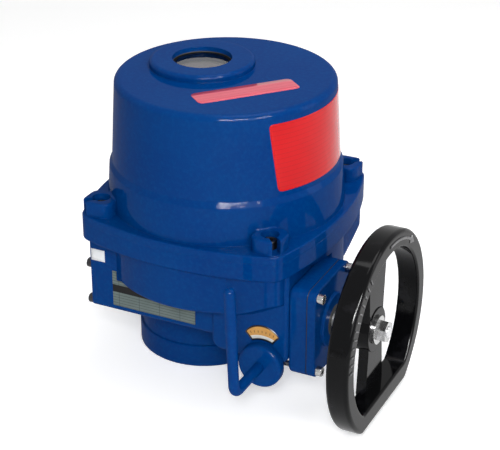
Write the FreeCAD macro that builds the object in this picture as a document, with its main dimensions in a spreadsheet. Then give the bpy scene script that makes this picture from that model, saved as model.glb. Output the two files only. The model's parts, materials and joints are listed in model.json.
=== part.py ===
import FreeCAD, Part
import Sketcher
import math
import os

Vector = FreeCAD.Vector
Rotation = FreeCAD.Rotation
Placement = FreeCAD.Placement

# Electric quarter-turn valve actuator, in millimetres.
# The origin is the centre of the mounting foot's lower face, on the output axis, +Z up.
# The handwheel looks along +X and the lever and nameplate look along -Y.

SIZES = [
    # dome cover and the flange that it shares with the housing
    ("cover_x", 32), ("cover_y", -13), ("cover_wall", 5), ("dome_top_z", 300.5), ("dome_top_r", 106.4),
    ("dome_edge_round", 6), ("band_top_z", 218), ("band_top_r", 111.2), ("band_low_z", 212.5),
    ("band_low_r", 114), ("skirt_low_r", 116.5), ("flange_half", 107.2), ("flange_corner", 14),
    ("flange_bulge", 122.5), ("cover_flange", 8.4), ("body_flange", 18.3), ("parting_z", 167),
    ("flange_edge_round", 2.5), ("cover_edge_round", 1.5),
    # cover ears and bolts
    ("ear_half", 89.3), ("ear_side", 31), ("ear_round", 10), ("ear_top_z", 190), ("ear_edge_round", 2),
    ("ear_floor_z", 176.5), ("ear_pocket_r", 8.6), ("ear_slot", 8), ("cover_bolt_d", 8),
    ("cover_bolt_length", 24), ("hole_gap", 0.5),
    # sight glass
    ("ring_base_r", 51.4), ("ring_rise", 7.1), ("ring_edge_round", 4), ("glass_opening_r", 29),
    ("glass_r", 34), ("glass_thick", 6.5), ("glass_gasket_thick", 1), ("retainer_r", 44),
    ("retainer_thick", 4), ("retainer_screw_pcr", 39), ("glass_gap", 0.3),
    # cover seal
    ("seal_groove_r", 115.5), ("seal_width", 3), ("seal_depth", 2.6),
    # lower housing
    ("bowl_r", 117), ("bowl_low_z", 103), ("bowl_edge_round", 5), ("tub_half", 105), ("tub_corner", 14),
    ("tub_slope", 1.296), ("tub_cavity_r", 100), ("tub_floor_z", 118),
    ("box_front_y", -102), ("box_low_z", 67), ("box_left_x", -69), ("box_right_x", 141),
    ("box_rear_y", -21), ("box_round", 5), ("chamber_wall_r", 74),
    ("foot_r", 68), ("foot_z", 24), ("neck_r", 66), ("foot_chamfer", 1),
    ("wheel_chamber_r", 55), ("wheel_chamber_z", 75), ("tunnel_r", 21),
    ("clutch_left_x", 60), ("clutch_low_z", 54), ("clutch_front_y", -104), ("clutch_corner", 11),
    ("clutch_round", 4), ("room_left_x", 79), ("room_right_x", 136), ("room_low_z", 62),
    ("room_front_y", -94), ("room_rear_y", -29),
    ("entry_boss_r", 17), ("entry_boss_y", 106), ("entry_hole_r", 9.25), ("entry_spread", 30),
    ("entry_z", 133),
    # mounting foot
    ("mount_pcd", 102), ("mount_hole_r", 4.25), ("mount_hole_depth", 22), ("spigot_r", 35.1),
    ("spigot_depth", 3.2),
    # worm gearing
    ("gear_module", 2.5), ("wheel_teeth", 40), ("worm_pitch_r", 12), ("wheel_face", 23),
    ("shaft_z", 91.5), ("worm_turns", 5), ("tooth_play", 0.3),
    # output sleeve, its bushes and seal
    ("sleeve_low_z", 3.6), ("sleeve_r", 30), ("sleeve_seal_r", 26), ("sleeve_collar_r", 36),
    ("sleeve_top_r", 26), ("sleeve_top_z", 130), ("bore_r", 14), ("bore_depth", 58), ("key_width", 8),
    ("keyway_depth", 3.3), ("bush_wall", 4), ("low_bush_z", 22), ("low_bush_length", 40),
    ("running_gap", 0.05), ("seal_thick", 9), ("wheel_key_length", 18),
    ("lid_r", 64), ("lid_thick", 8), ("lid_screw_pcr", 60),
    # shafts and ball bearings
    ("shaft_r", 8.5), ("bearing_r", 20), ("bearing_width", 12), ("left_bearing_x", -62),
    ("mid_bearing_x", 63), ("hand_bearing_x", 143), ("hex_flats", 15), ("hex_gap", 0.2),
    ("hex_start_x", 95.2),
    ("worm_shaft_end_x", 133.5), ("end_cover", 5), ("end_screw_y", 33.5), ("end_screw_z", 20),
    ("end_screw_d", 6), ("end_screw_length", 12), ("end_low_z", 67), ("end_top_z", 146),
    # motor gear train
    ("train_module", 1.5), ("clutch_teeth", 36), ("idler_teeth", 30), ("pinion_teeth", 12),
    ("train_x", 83), ("train_width", 10), ("train_hub_r", 14), ("idler_lean", 70), ("idler_pin_r", 5),
    ("gear_hub_x", 95), ("bracket_thick", 3), ("bracket_x", 78.6),
    ("motor_r", 26), ("motor_length", 96), ("motor_shaft_r", 3),
    # clutch collar and dogs
    ("dog_in_r", 10), ("dog_out_r", 18), ("dog_width", 6), ("dog_length", 5), ("dog_gap", 0.5),
    ("collar_r", 20), ("collar_half", 9), ("groove_width", 9.2), ("groove_r", 13.5),
    # lever
    ("lever_x", 115.5), ("lever_z", 52), ("fork_reach", 22), ("fork_lean", 16), ("fork_pin_r", 3.8),
    ("lever_shaft_r", 6), ("fork_hub_r", 9), ("lever_boss_r", 15), ("lever_disc_r", 22.5),
    ("lever_disc_thick", 9), ("lever_disc_round", 3.5), ("lever_disc_gap", 1), ("rod_r", 5.2),
    ("rod_out_y", -166), ("rod_bend", 9.5), ("rod_top_z", 162), ("rod_lean", 2.3),
    # handwheel gear case
    ("case_width", 82), ("case_height", 92), ("case_round", 9), ("case_length", 18), ("case_gasket", 1),
    ("case_cover", 8), ("case_boss_r", 27), ("case_boss", 3), ("case_cavity_r", 27),
    ("case_screw_y", 34), ("case_screw_z", 39), ("case_screw_d", 6), ("case_screw_length", 34),
    # handwheel
    ("wheel_r", 99), ("wheel_chord", 82.5), ("rim_width", 17.5), ("chord_width", 20), ("rim_back_x", 203),
    ("rim_depth", 22), ("rim_round", 4), ("rim_corner", 7), ("web_thick", 10), ("web_hub_half", 17),
    ("web_rim_half", 22), ("hub_r", 22), ("hub_x", 184), ("hub_length", 30), ("hub_bore_r", 7),
    ("nut_d", 12), ("nut_high", 9), ("nut_flats", 19), ("washer_r", 14), ("washer_thick", 2.5),
    # control side
    ("pillar_r", 5), ("pillar_inset", 7), ("notch_half", 11), ("notch_depth", 13),
    ("plate_z", 138), ("plate_thick", 2.5), ("plate_gap", 3),
    ("indicator_r", 5), ("dial_drop", 12.5), ("dial_r", 26), ("dial_thick", 2), ("cam_r", 13),
    ("cam_drop", 78), ("cam_thick", 8), ("cam_step", 9), ("terminal_length", 62), ("terminal_depth", 24),
    ("terminal_high", 18), ("terminal_wall", 1.5), ("terminal_count", 8), ("terminal_inset", 43),
    ("capacitor_r", 17), ("capacitor_length", 58), ("capacitor_inset", 39),
    ("heater_inset", 21), ("heater_length", 24),
    # nameplate
    ("plate_left_x", -49), ("plate_right_x", 42), ("plate_low_z", 74), ("plate_high_z", 102),
    ("plate_tab_width", 4.5), ("plate_tab_z", 112), ("name_thick", 0.8),
]

doc = FreeCAD.newDocument("ValveActuator")
sheet = doc.addObject("Spreadsheet::Sheet", "Sizes")
for row, (alias, value) in enumerate(SIZES, 1):
    sheet.set("A%d" % row, alias)
    sheet.set("B%d" % row, str(value))
    sheet.setAlias("B%d" % row, alias)
doc.recompute()


class Term:
    """A size that knows its value and the formula over the sheet that gives it."""

    def __init__(self, text, value):
        self.text = text
        self.value = float(value)

    def join(self, sign, other, value, swap=False):
        left, right = (term(other), self) if swap else (self, term(other))
        return Term("(%s %s %s)" % (left.text, sign, right.text), value)

    def __add__(self, other):
        return self.join("+", other, self.value + term(other).value)

    def __radd__(self, other):
        return self.join("+", other, self.value + term(other).value, True)

    def __sub__(self, other):
        return self.join("-", other, self.value - term(other).value)

    def __rsub__(self, other):
        return self.join("-", other, term(other).value - self.value, True)

    def __mul__(self, other):
        return self.join("*", other, self.value * term(other).value)

    def __rmul__(self, other):
        return self.join("*", other, self.value * term(other).value, True)

    def __truediv__(self, other):
        return self.join("/", other, self.value / term(other).value)

    def __neg__(self):
        return self * -1

    def __float__(self):
        return self.value


def term(thing):
    return thing if isinstance(thing, Term) else Term("%.10g" % thing, thing)


def root(thing):
    return Term("sqrt(%s)" % thing.text, math.sqrt(thing.value))


def cosine(angle):
    angle = term(angle)
    return Term("cos(%s * 1deg)" % angle.text, math.cos(math.radians(angle.value)))


def sine(angle):
    angle = term(angle)
    return Term("sin(%s * 1deg)" % angle.text, math.sin(math.radians(angle.value)))


class Cells:
    """The sheet's aliases as terms."""

    def __init__(self):
        for name, _ in SIZES:
            setattr(self, name, Term("Sizes." + name, sheet.get(name)))


s = Cells()

# The control plate follows the tub that it stands in, and the dial and cams follow the glass over them.
plate_r = s.tub_cavity_r - s.plate_gap
pillar_ring_r = plate_r - s.pillar_inset
dial_z = s.dome_top_z - s.dial_drop
cam_z = dial_z - s.cam_drop

nodes = []
count = [0]

# A turned piece is drawn along its own +Z and then laid along one of these directions.
UP = Rotation()
DOWN = Rotation(Vector(1, 0, 0), 180)
ALONG_X = Rotation(Vector(0, 1, 0), 90)
AGAINST_X = Rotation(Vector(0, 1, 0), -90)
ALONG_Y = Rotation(Vector(1, 0, 0), -90)
AGAINST_Y = Rotation(Vector(1, 0, 0), 90)


def fresh(name):
    count[0] += 1
    return "%s_%d" % (name, count[0])


def bind(thing, prop, value):
    value = term(value)
    thing.setExpression(prop, value.text)


def put(thing, at, turn=UP):
    """Sets an object's turn, and binds its place to the sheet."""
    thing.Placement = Placement(Vector(*[term(v).value for v in at]), turn)
    for letter, value in zip("xyz", at):
        bind(thing, "Placement.Base." + letter, value)


def new_body(name, at=(0, 0, 0), turn=UP):
    body = doc.addObject("PartDesign::Body", fresh(name))
    put(body, at, turn)
    return body


def new_sketch(body, role="XY_Plane", level=0):
    sketch = body.newObject("Sketcher::SketchObject", fresh(body.Name + "_sketch"))
    plane = [f for f in body.Origin.OriginFeatures if f.Role == role][0]
    sketch.AttachmentSupport = [(plane, "")]
    sketch.MapMode = "FlatFace"
    bind(sketch, "AttachmentOffset.Base.z", level)
    return sketch


def pin_point(sketch, index, which, x, y):
    for kind, value in (("DistanceX", term(x)), ("DistanceY", term(y))):
        number = sketch.addConstraint(Sketcher.Constraint(kind, -1, 1, index, which, value.value))
        sketch.setExpression("Constraints[%d]" % number, value.text)


def point(x, y):
    return Vector(term(x).value, term(y).value, 0)


def outline(sketch, points):
    """A closed outline of straight lines through the given points."""
    first = sketch.GeometryCount
    ends = points[1:] + points[:1]
    for start, end in zip(points, ends):
        sketch.addGeometry(Part.LineSegment(point(*start), point(*end)), False)
    for i in range(len(points)):
        follower = first + (i + 1) % len(points)
        sketch.addConstraint(Sketcher.Constraint("Coincident", first + i, 2, follower, 1))
    for i, (x, y) in enumerate(points):
        pin_point(sketch, first + i, 1, x, y)


def circle(sketch, x, y, radius):
    radius = term(radius)
    index = sketch.addGeometry(Part.Circle(point(x, y), Vector(0, 0, 1), radius.value), False)
    pin_point(sketch, index, 3, x, y)
    number = sketch.addConstraint(Sketcher.Constraint("Radius", index, radius.value))
    sketch.setExpression("Constraints[%d]" % number, radius.text)


def fix_radius(sketch, index, radius):
    number = sketch.addConstraint(Sketcher.Constraint("Radius", index, term(radius).value))
    sketch.setExpression("Constraints[%d]" % number, term(radius).text)


def rounded(sketch, x, y, half_x, half_y, radius):
    """A rectangle about (x, y) with rounded corners."""
    first = sketch.GeometryCount
    # each side runs from one corner's tangent point to the next, anticlockwise
    flat_x, flat_y = half_x - radius, half_y - radius
    sides = [
        ((x - flat_x, y - half_y), (x + flat_x, y - half_y)),
        ((x + half_x, y - flat_y), (x + half_x, y + flat_y)),
        ((x + flat_x, y + half_y), (x - flat_x, y + half_y)),
        ((x - half_x, y + flat_y), (x - half_x, y - flat_y)),
    ]
    centres = [(x + flat_x, y - flat_y), (x + flat_x, y + flat_y), (x - flat_x, y + flat_y),
               (x - flat_x, y - flat_y)]
    for side, centre, turn in zip(sides, centres, (-90, 0, 90, 180)):
        sketch.addGeometry(Part.LineSegment(point(*side[0]), point(*side[1])), False)
        ring = Part.Circle(point(*centre), Vector(0, 0, 1), term(radius).value)
        arc = Part.ArcOfCircle(ring, math.radians(turn), math.radians(turn + 90))
        sketch.addGeometry(arc, False)
    for i, side in enumerate(sides):
        line, arc, following = first + 2 * i, first + 2 * i + 1, first + (2 * i + 2) % 8
        sketch.addConstraint(Sketcher.Constraint("Coincident", line, 2, arc, 1))
        sketch.addConstraint(Sketcher.Constraint("Coincident", arc, 2, following, 1))
        pin_point(sketch, line, 1, *side[0])
        pin_point(sketch, line, 2, *side[1])
        fix_radius(sketch, arc, radius)


def bulged(sketch, half, corner, bulge):
    """A square about the origin with rounded corners and sides that bulge a little, all arcs tangent."""
    flat = half - corner
    back = ((bulge - corner) * (bulge - corner) - flat * flat * 2) / ((flat + corner - bulge) * 2)
    side_r = back + bulge
    reach = side_r - corner
    far, near = flat + corner * (flat + back) / reach, flat + corner * flat / reach
    lean = math.atan2(flat.value, (flat + back).value)
    first = sketch.GeometryCount
    for i in range(4):
        turn = math.radians(90 * i)
        across, along = quarter(-back, term(0), i), quarter(flat, flat, i)
        side = Part.Circle(point(*across), Vector(0, 0, 1), side_r.value)
        sketch.addGeometry(Part.ArcOfCircle(side, turn - lean, turn + lean), False)
        ring = Part.Circle(point(*along), Vector(0, 0, 1), corner.value)
        sketch.addGeometry(Part.ArcOfCircle(ring, turn + lean, turn + math.pi / 2 - lean), False)
    for i in range(4):
        side, ring, following = first + 2 * i, first + 2 * i + 1, first + (2 * i + 2) % 8
        sketch.addConstraint(Sketcher.Constraint("Coincident", side, 2, ring, 1))
        sketch.addConstraint(Sketcher.Constraint("Coincident", ring, 2, following, 1))
        pin_point(sketch, side, 1, *quarter(far, -near, i))
        pin_point(sketch, side, 2, *quarter(far, near, i))
        fix_radius(sketch, side, side_r)
        fix_radius(sketch, ring, corner)


def quarter(x, y, turns):
    """A point turned about the origin by a number of quarter turns."""
    for _ in range(turns):
        x, y = -y, x
    return x, y


def feature(body, kind, sketch, **lengths):
    """A pad, pocket, revolution or groove from a sketch, with its sizes bound."""
    made = body.newObject("PartDesign::" + kind, fresh(body.Name + "_" + kind))
    made.Profile = sketch
    sketch.Visibility = False
    if kind in ("Revolution", "Groove"):
        made.ReferenceAxis = (sketch, ["V_Axis"])
        made.Angle = 360
    for name, value in lengths.items():
        if isinstance(value, (bool, str)):
            setattr(made, name, value)
        else:
            bind(made, name, value)
    return made


def copies_round(body, original, sketch, occurrences):
    pattern = body.newObject("PartDesign::PolarPattern", fresh(body.Name + "_pattern"))
    pattern.Originals = [original]
    pattern.Axis = (sketch, ["N_Axis"])
    pattern.Angle = 360
    pattern.Occurrences = occurrences
    body.Tip = pattern
    return pattern


def soften(body, base, radius, wanted, kind="Fillet"):
    """Rounds or chamfers those edges of the last feature that the wanted test picks."""
    doc.recompute()
    names = ["Edge%d" % (i + 1) for i, edge in enumerate(base.Shape.Edges) if wanted(edge)]
    if not names:
        raise RuntimeError("no edge to soften on " + base.Name)
    made = body.newObject("PartDesign::" + kind, fresh(body.Name + "_" + kind))
    made.Base = (base, names)
    bind(made, "Radius" if kind == "Fillet" else "Size", radius)
    return made


def at_level(edge, level, tolerance=0.01):
    """Whether an edge lies in the level plane of its own body."""
    box = edge.BoundBox
    level = term(level).value
    return abs(box.ZMin - level) < tolerance and abs(box.ZMax - level) < tolerance


def turned(name, profile, at=(0, 0, 0), turn=UP):
    """A turned piece. The profile's points are (place along the axis, radius)."""
    body = new_body(name, at, turn)
    sketch = new_sketch(body, "XZ_Plane")
    outline(sketch, [(radius, along) for along, radius in profile])
    feature(body, "Revolution", sketch)
    return body


def turned_ring(name, low, high, inner, outer, at=(0, 0, 0), turn=UP):
    return turned(name, [(low, inner), (high, inner), (high, outer), (low, outer)], at, turn)


def disc(name, low, high, radius, at=(0, 0, 0), turn=UP):
    """A plain cylinder from low to high along its direction."""
    made = doc.addObject("Part::Cylinder", fresh(name))
    bind(made, "Radius", radius)
    bind(made, "Height", term(high) - low)
    direction = turn.multVec(Vector(0, 0, 1))
    place = [term(v) + term(low) * round(part) for v, part in zip(at, direction)]
    put(made, place, turn)
    return made


def block(name, low, high):
    made = doc.addObject("Part::Box", fresh(name))
    for prop, a, b in zip(("Length", "Width", "Height"), low, high):
        bind(made, prop, term(b) - a)
    put(made, low)
    return made


def join(name, pieces):
    made = doc.addObject("Part::MultiFuse", fresh(name))
    made.Shapes = pieces
    made.Refine = True
    return made


def less(name, base, tools):
    made = doc.addObject("Part::Cut", fresh(name))
    made.Base = base
    made.Tool = tools[0] if len(tools) == 1 else join(name + "_tools", tools)
    return made


def group(name, pieces):
    made = doc.addObject("Part::Compound", fresh(name))
    made.Links = pieces
    return made


def node(label, thing):
    thing.Label = label
    nodes.append((label, thing))
    return thing


def made_shape(label, shape, at=(0, 0, 0), turn=UP):
    """A piece whose form is made directly, placed after its shape is set."""
    made = doc.addObject("Part::Feature", fresh(label))
    made.Shape = shape
    put(made, at, turn)
    return node(label, made)


def hexagon(sketch, flats, turn=0):
    corner = flats / math.sqrt(3)
    angles = [math.radians(turn + 60 * i) for i in range(6)]
    outline(sketch, [(corner * math.cos(angle), corner * math.sin(angle)) for angle in angles])


def socket_screw(name, diameter, length, at, turn):
    """A socket-head cap screw whose head stands on the local level 0."""
    diameter = term(diameter)
    head = diameter * 0.8
    screw = new_body(name, at, turn)
    sketch = new_sketch(screw, "XZ_Plane")
    edge = diameter * 0.08
    outline(sketch, [(0, -term(length)), (diameter / 2 - edge, -term(length)), (diameter / 2, edge - length),
                     (diameter / 2, 0), (head, 0), (head, diameter - edge), (head - edge, diameter),
                     (0, diameter)])
    feature(screw, "Revolution", sketch)
    hole = new_sketch(screw, "XY_Plane", diameter)
    hexagon(hole, diameter * 0.8)
    feature(screw, "Pocket", hole, Length=diameter * 0.5)
    return screw


def square_places(x, y, half_x, half_y):
    return [(x + sx * half_x, y + sy * half_y) for sx in (-1, 1) for sy in (-1, 1)]


# Shared places, worked out from the sheet
shaft_y = -(s.gear_module * s.wheel_teeth / 2 + s.worm_pitch_r)
shaft_line = (0, shaft_y, s.shaft_z)
cover_flange_z = s.parting_z + s.cover_flange
body_flange_z = s.parting_z - s.body_flange
cavity_top_z = s.dome_top_z - s.cover_wall
ear_places = square_places(s.cover_x, s.cover_y, s.ear_half, s.ear_half)
on_cover = (s.cover_x, s.cover_y, 0)
ring_top_z = s.dome_top_z + s.ring_rise
glass_seat_z = cavity_top_z + s.glass_thick + s.glass_gasket_thick


def top_cover():
    """The dome: a turned shell with a flange, four ears and the sight-glass ring."""
    body = new_body("top_cover", on_cover)
    dome = new_sketch(body, "XZ_Plane")
    outline(dome, [(0, s.parting_z), (s.skirt_low_r, s.parting_z), (s.skirt_low_r, cover_flange_z),
                   (s.band_low_r, s.band_low_z), (s.band_top_r, s.band_top_z), (s.dome_top_r, s.dome_top_z),
                   (0, s.dome_top_z)])
    shell = feature(body, "Revolution", dome)
    rounded_top = soften(body, shell, s.dome_edge_round, lambda e: at_level(e, s.dome_top_z))

    flange = new_sketch(body, "XY_Plane", s.parting_z)
    bulged(flange, s.flange_half, s.flange_corner, s.flange_bulge)
    pad = feature(body, "Pad", flange, Length=s.cover_flange)
    soften(body, pad, s.cover_edge_round, lambda e: at_level(e, cover_flange_z)
           and math.hypot(e.Vertexes[0].X, e.Vertexes[0].Y) > s.flange_bulge.value)

    ears_about_cover = square_places(term(0), term(0), s.ear_half, s.ear_half)
    ears = new_sketch(body, "XY_Plane", s.parting_z)
    side = s.ear_side / 2
    for x, y in ears_about_cover:
        rounded(ears, x, y, side, side, s.ear_round)
    pad = feature(body, "Pad", ears, Length=s.ear_top_z - s.parting_z)
    soften(body, pad, s.ear_edge_round, lambda e: at_level(e, s.ear_top_z))

    # each ear holds its bolt head in a round pocket that a slot opens towards the corner
    pockets = new_sketch(body, "XY_Plane", s.ear_top_z)
    for x, y in ears_about_cover:
        circle(pockets, x, y, s.ear_pocket_r)
    feature(body, "Pocket", pockets, Length=s.ear_top_z - s.ear_floor_z)
    slots = new_sketch(body, "XY_Plane", s.ear_top_z)
    slant = math.sqrt(0.5)
    out, wide = s.ear_side * 0.8 * slant, s.ear_slot / 2 * slant
    for sx in (-1, 1):
        for sy in (-1, 1):
            x, y = sx * s.ear_half, sy * s.ear_half
            outline(slots, [(x + out * a * sx - wide * b * sy, y + out * a * sy + wide * b * sx)
                            for a, b in ((0, -1), (1, -1), (1, 1), (0, 1))])
    feature(body, "Pocket", slots, Length=s.ear_top_z - s.ear_floor_z)
    holes = new_sketch(body, "XY_Plane", s.ear_floor_z)
    for x, y in ears_about_cover:
        circle(holes, x, y, s.cover_bolt_d / 2 + s.hole_gap)
    feature(body, "Pocket", holes, Length=s.ear_floor_z - s.parting_z + 1)

    ring = new_sketch(body, "XY_Plane", s.dome_top_z - s.cover_wall / 2)
    circle(ring, -s.cover_x, -s.cover_y, s.ring_base_r)
    pad = feature(body, "Pad", ring, Length=s.ring_rise + s.cover_wall / 2)
    soften(body, pad, s.ring_edge_round, lambda e: at_level(e, ring_top_z))

    inside = new_sketch(body, "XZ_Plane")
    outline(inside, [(0, s.parting_z - 1), (s.skirt_low_r - s.cover_wall, s.parting_z - 1),
                     (s.skirt_low_r - s.cover_wall, cover_flange_z),
                     (s.band_low_r - s.cover_wall, s.band_low_z),
                     (s.band_top_r - s.cover_wall, s.band_top_z), (s.dome_top_r - s.cover_wall, cavity_top_z),
                     (0, cavity_top_z)])
    feature(body, "Groove", inside)
    window = new_sketch(body, "XY_Plane", ring_top_z)
    circle(window, -s.cover_x, -s.cover_y, s.glass_opening_r)
    feature(body, "Pocket", window, Length=ring_top_z - cavity_top_z + 1)
    seat = new_sketch(body, "XY_Plane", glass_seat_z)
    circle(seat, -s.cover_x, -s.cover_y, s.glass_r + s.glass_gap)
    feature(body, "Pocket", seat, Length=glass_seat_z - cavity_top_z + 1)
    screws = new_sketch(body, "XY_Plane", cavity_top_z + s.glass_thick)
    for x, y in square_places(-s.cover_x, -s.cover_y, s.retainer_screw_pcr, term(0))[::2]:
        circle(screws, x, y, 2)
    for x, y in square_places(-s.cover_x, -s.cover_y, term(0), s.retainer_screw_pcr)[:2]:
        circle(screws, x, y, 2)
    feature(body, "Pocket", screws, Length=s.glass_thick + 1)
    return node("top_cover", body)


def sight_glass():
    node("sight_glass", turned("sight_glass", [
        (cavity_top_z, 0), (cavity_top_z, s.glass_r), (cavity_top_z + s.glass_thick, s.glass_r),
        (cavity_top_z + s.glass_thick, 0)]))
    node("glass_gasket", turned_ring("glass_gasket", glass_seat_z - s.glass_gasket_thick, glass_seat_z,
                                     s.glass_opening_r, s.glass_r))
    low = cavity_top_z - s.retainer_thick
    ring = new_body("glass_retainer")
    sketch = new_sketch(ring, "XY_Plane", low)
    circle(sketch, 0, 0, s.retainer_r)
    circle(sketch, 0, 0, s.glass_opening_r)
    places = [(s.retainer_screw_pcr, 0), (0, s.retainer_screw_pcr), (-s.retainer_screw_pcr, 0),
              (0, -s.retainer_screw_pcr)]
    for x, y in places:
        circle(sketch, x, y, 2.2)
    feature(ring, "Pad", sketch, Length=s.retainer_thick)
    node("glass_retainer", ring)
    screws = [socket_screw("retainer_screw", 3.6, 8, (x, y, low), DOWN) for x, y in places]
    node("retainer_screws", group("retainer_screws", screws))


def cover_fasteners():
    bolts = [socket_screw("cover_bolt", s.cover_bolt_d, s.cover_bolt_length, (x, y, s.ear_floor_z), UP)
             for x, y in ear_places]
    node("cover_bolts", group("cover_bolts", bolts))
    low = s.parting_z - s.seal_depth
    node("cover_seal", turned_ring("cover_seal", low, s.parting_z, s.seal_groove_r - s.seal_width / 2,
                                   s.seal_groove_r + s.seal_width / 2, on_cover))


def housing_forms():
    """The outer forms of the lower casting, before it is hollowed."""
    bowl = new_body("bowl", on_cover)
    sketch = new_sketch(bowl, "XY_Plane", s.bowl_low_z)
    circle(sketch, 0, 0, s.bowl_r)
    pad = feature(bowl, "Pad", sketch, Length=s.parting_z - s.bowl_low_z)
    soften(bowl, pad, s.bowl_edge_round, lambda e: at_level(e, s.bowl_low_z))

    flange = new_body("body_flange", on_cover)
    sketch = new_sketch(flange, "XY_Plane", body_flange_z)
    bulged(sketch, s.flange_half, s.flange_corner, s.flange_bulge)
    pad = feature(flange, "Pad", sketch, Length=s.body_flange)
    soften(flange, pad, s.flange_edge_round, lambda e: at_level(e, body_flange_z))

    # on the handwheel's side the square of the flange runs down into the bowl through a conical underside
    square = new_body("tub_square", on_cover)
    sketch = new_sketch(square, "XY_Plane", s.bowl_low_z)
    rounded(sketch, s.tub_half / 2, term(0), s.tub_half / 2, s.tub_half, s.tub_corner)
    feature(square, "Pad", sketch, Length=s.parting_z - s.bowl_low_z - 1)
    cone = doc.addObject("Part::Cone", fresh("tub_cone"))
    bind(cone, "Radius1", s.bowl_r)
    bind(cone, "Radius2", s.bowl_r + s.tub_slope * (s.parting_z - s.bowl_low_z))
    bind(cone, "Height", s.parting_z - s.bowl_low_z)
    put(cone, (s.cover_x, s.cover_y, s.bowl_low_z))
    corners = doc.addObject("Part::Common", fresh("tub_corners"))
    corners.Base = square
    corners.Tool = cone

    # the box along the front for the worm shaft
    box_top_z = s.parting_z - 8
    middle_y, middle_z = (s.box_front_y + s.box_rear_y) / 2, (s.box_low_z + box_top_z) / 2
    box = new_body("shaft_box")
    sketch = new_sketch(box, "YZ_Plane", s.box_left_x)
    rounded(sketch, middle_y, middle_z, (s.box_rear_y - s.box_front_y) / 2, (box_top_z - s.box_low_z) / 2,
            s.box_round)
    feature(box, "Pad", sketch, Length=s.box_right_x - s.box_left_x)

    clutch = new_body("clutch_box")
    sketch = new_sketch(clutch, "XZ_Plane", -s.box_rear_y)
    rounded(sketch, (s.clutch_left_x + s.box_right_x) / 2, (s.clutch_low_z + box_top_z) / 2,
            (s.box_right_x - s.clutch_left_x) / 2, (box_top_z - s.clutch_low_z) / 2, s.clutch_corner)
    pad = feature(clutch, "Pad", sketch, Length=s.box_rear_y - s.clutch_front_y)
    front = s.clutch_front_y.value
    soften(clutch, pad, s.clutch_round,
           lambda e: abs(e.BoundBox.YMax - front) < 0.01 and e.BoundBox.XMin < s.box_right_x.value - 12)

    chamber = turned("wheel_chamber", [(s.foot_z, 0), (s.foot_z, s.neck_r), (s.box_low_z - 5, s.neck_r),
                                       (s.box_low_z, s.chamber_wall_r), (s.tub_floor_z, s.chamber_wall_r),
                                       (s.tub_floor_z, 0)])
    cut = s.foot_chamfer
    foot = turned("foot", [(0, 0), (0, s.foot_r - cut), (cut, s.foot_r), (s.foot_z - cut, s.foot_r),
                           (s.foot_z, s.foot_r - cut), (s.foot_z + 1, 0)])
    boss_out = -(s.clutch_front_y - 0.5)
    lever_line = (s.lever_x, 0, s.lever_z)
    boss = disc("lever_boss", -(s.room_rear_y - 12), boss_out, s.lever_boss_r, lever_line, AGAINST_Y)
    entries = [disc("entry_boss", s.tub_cavity_r / 2, s.entry_boss_y, s.entry_boss_r,
                    (s.cover_x + side * s.entry_spread, 0, s.entry_z), ALONG_Y) for side in (-1, 1)]
    return [bowl, flange, corners, box, clutch, chamber, foot, boss] + entries


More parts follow.
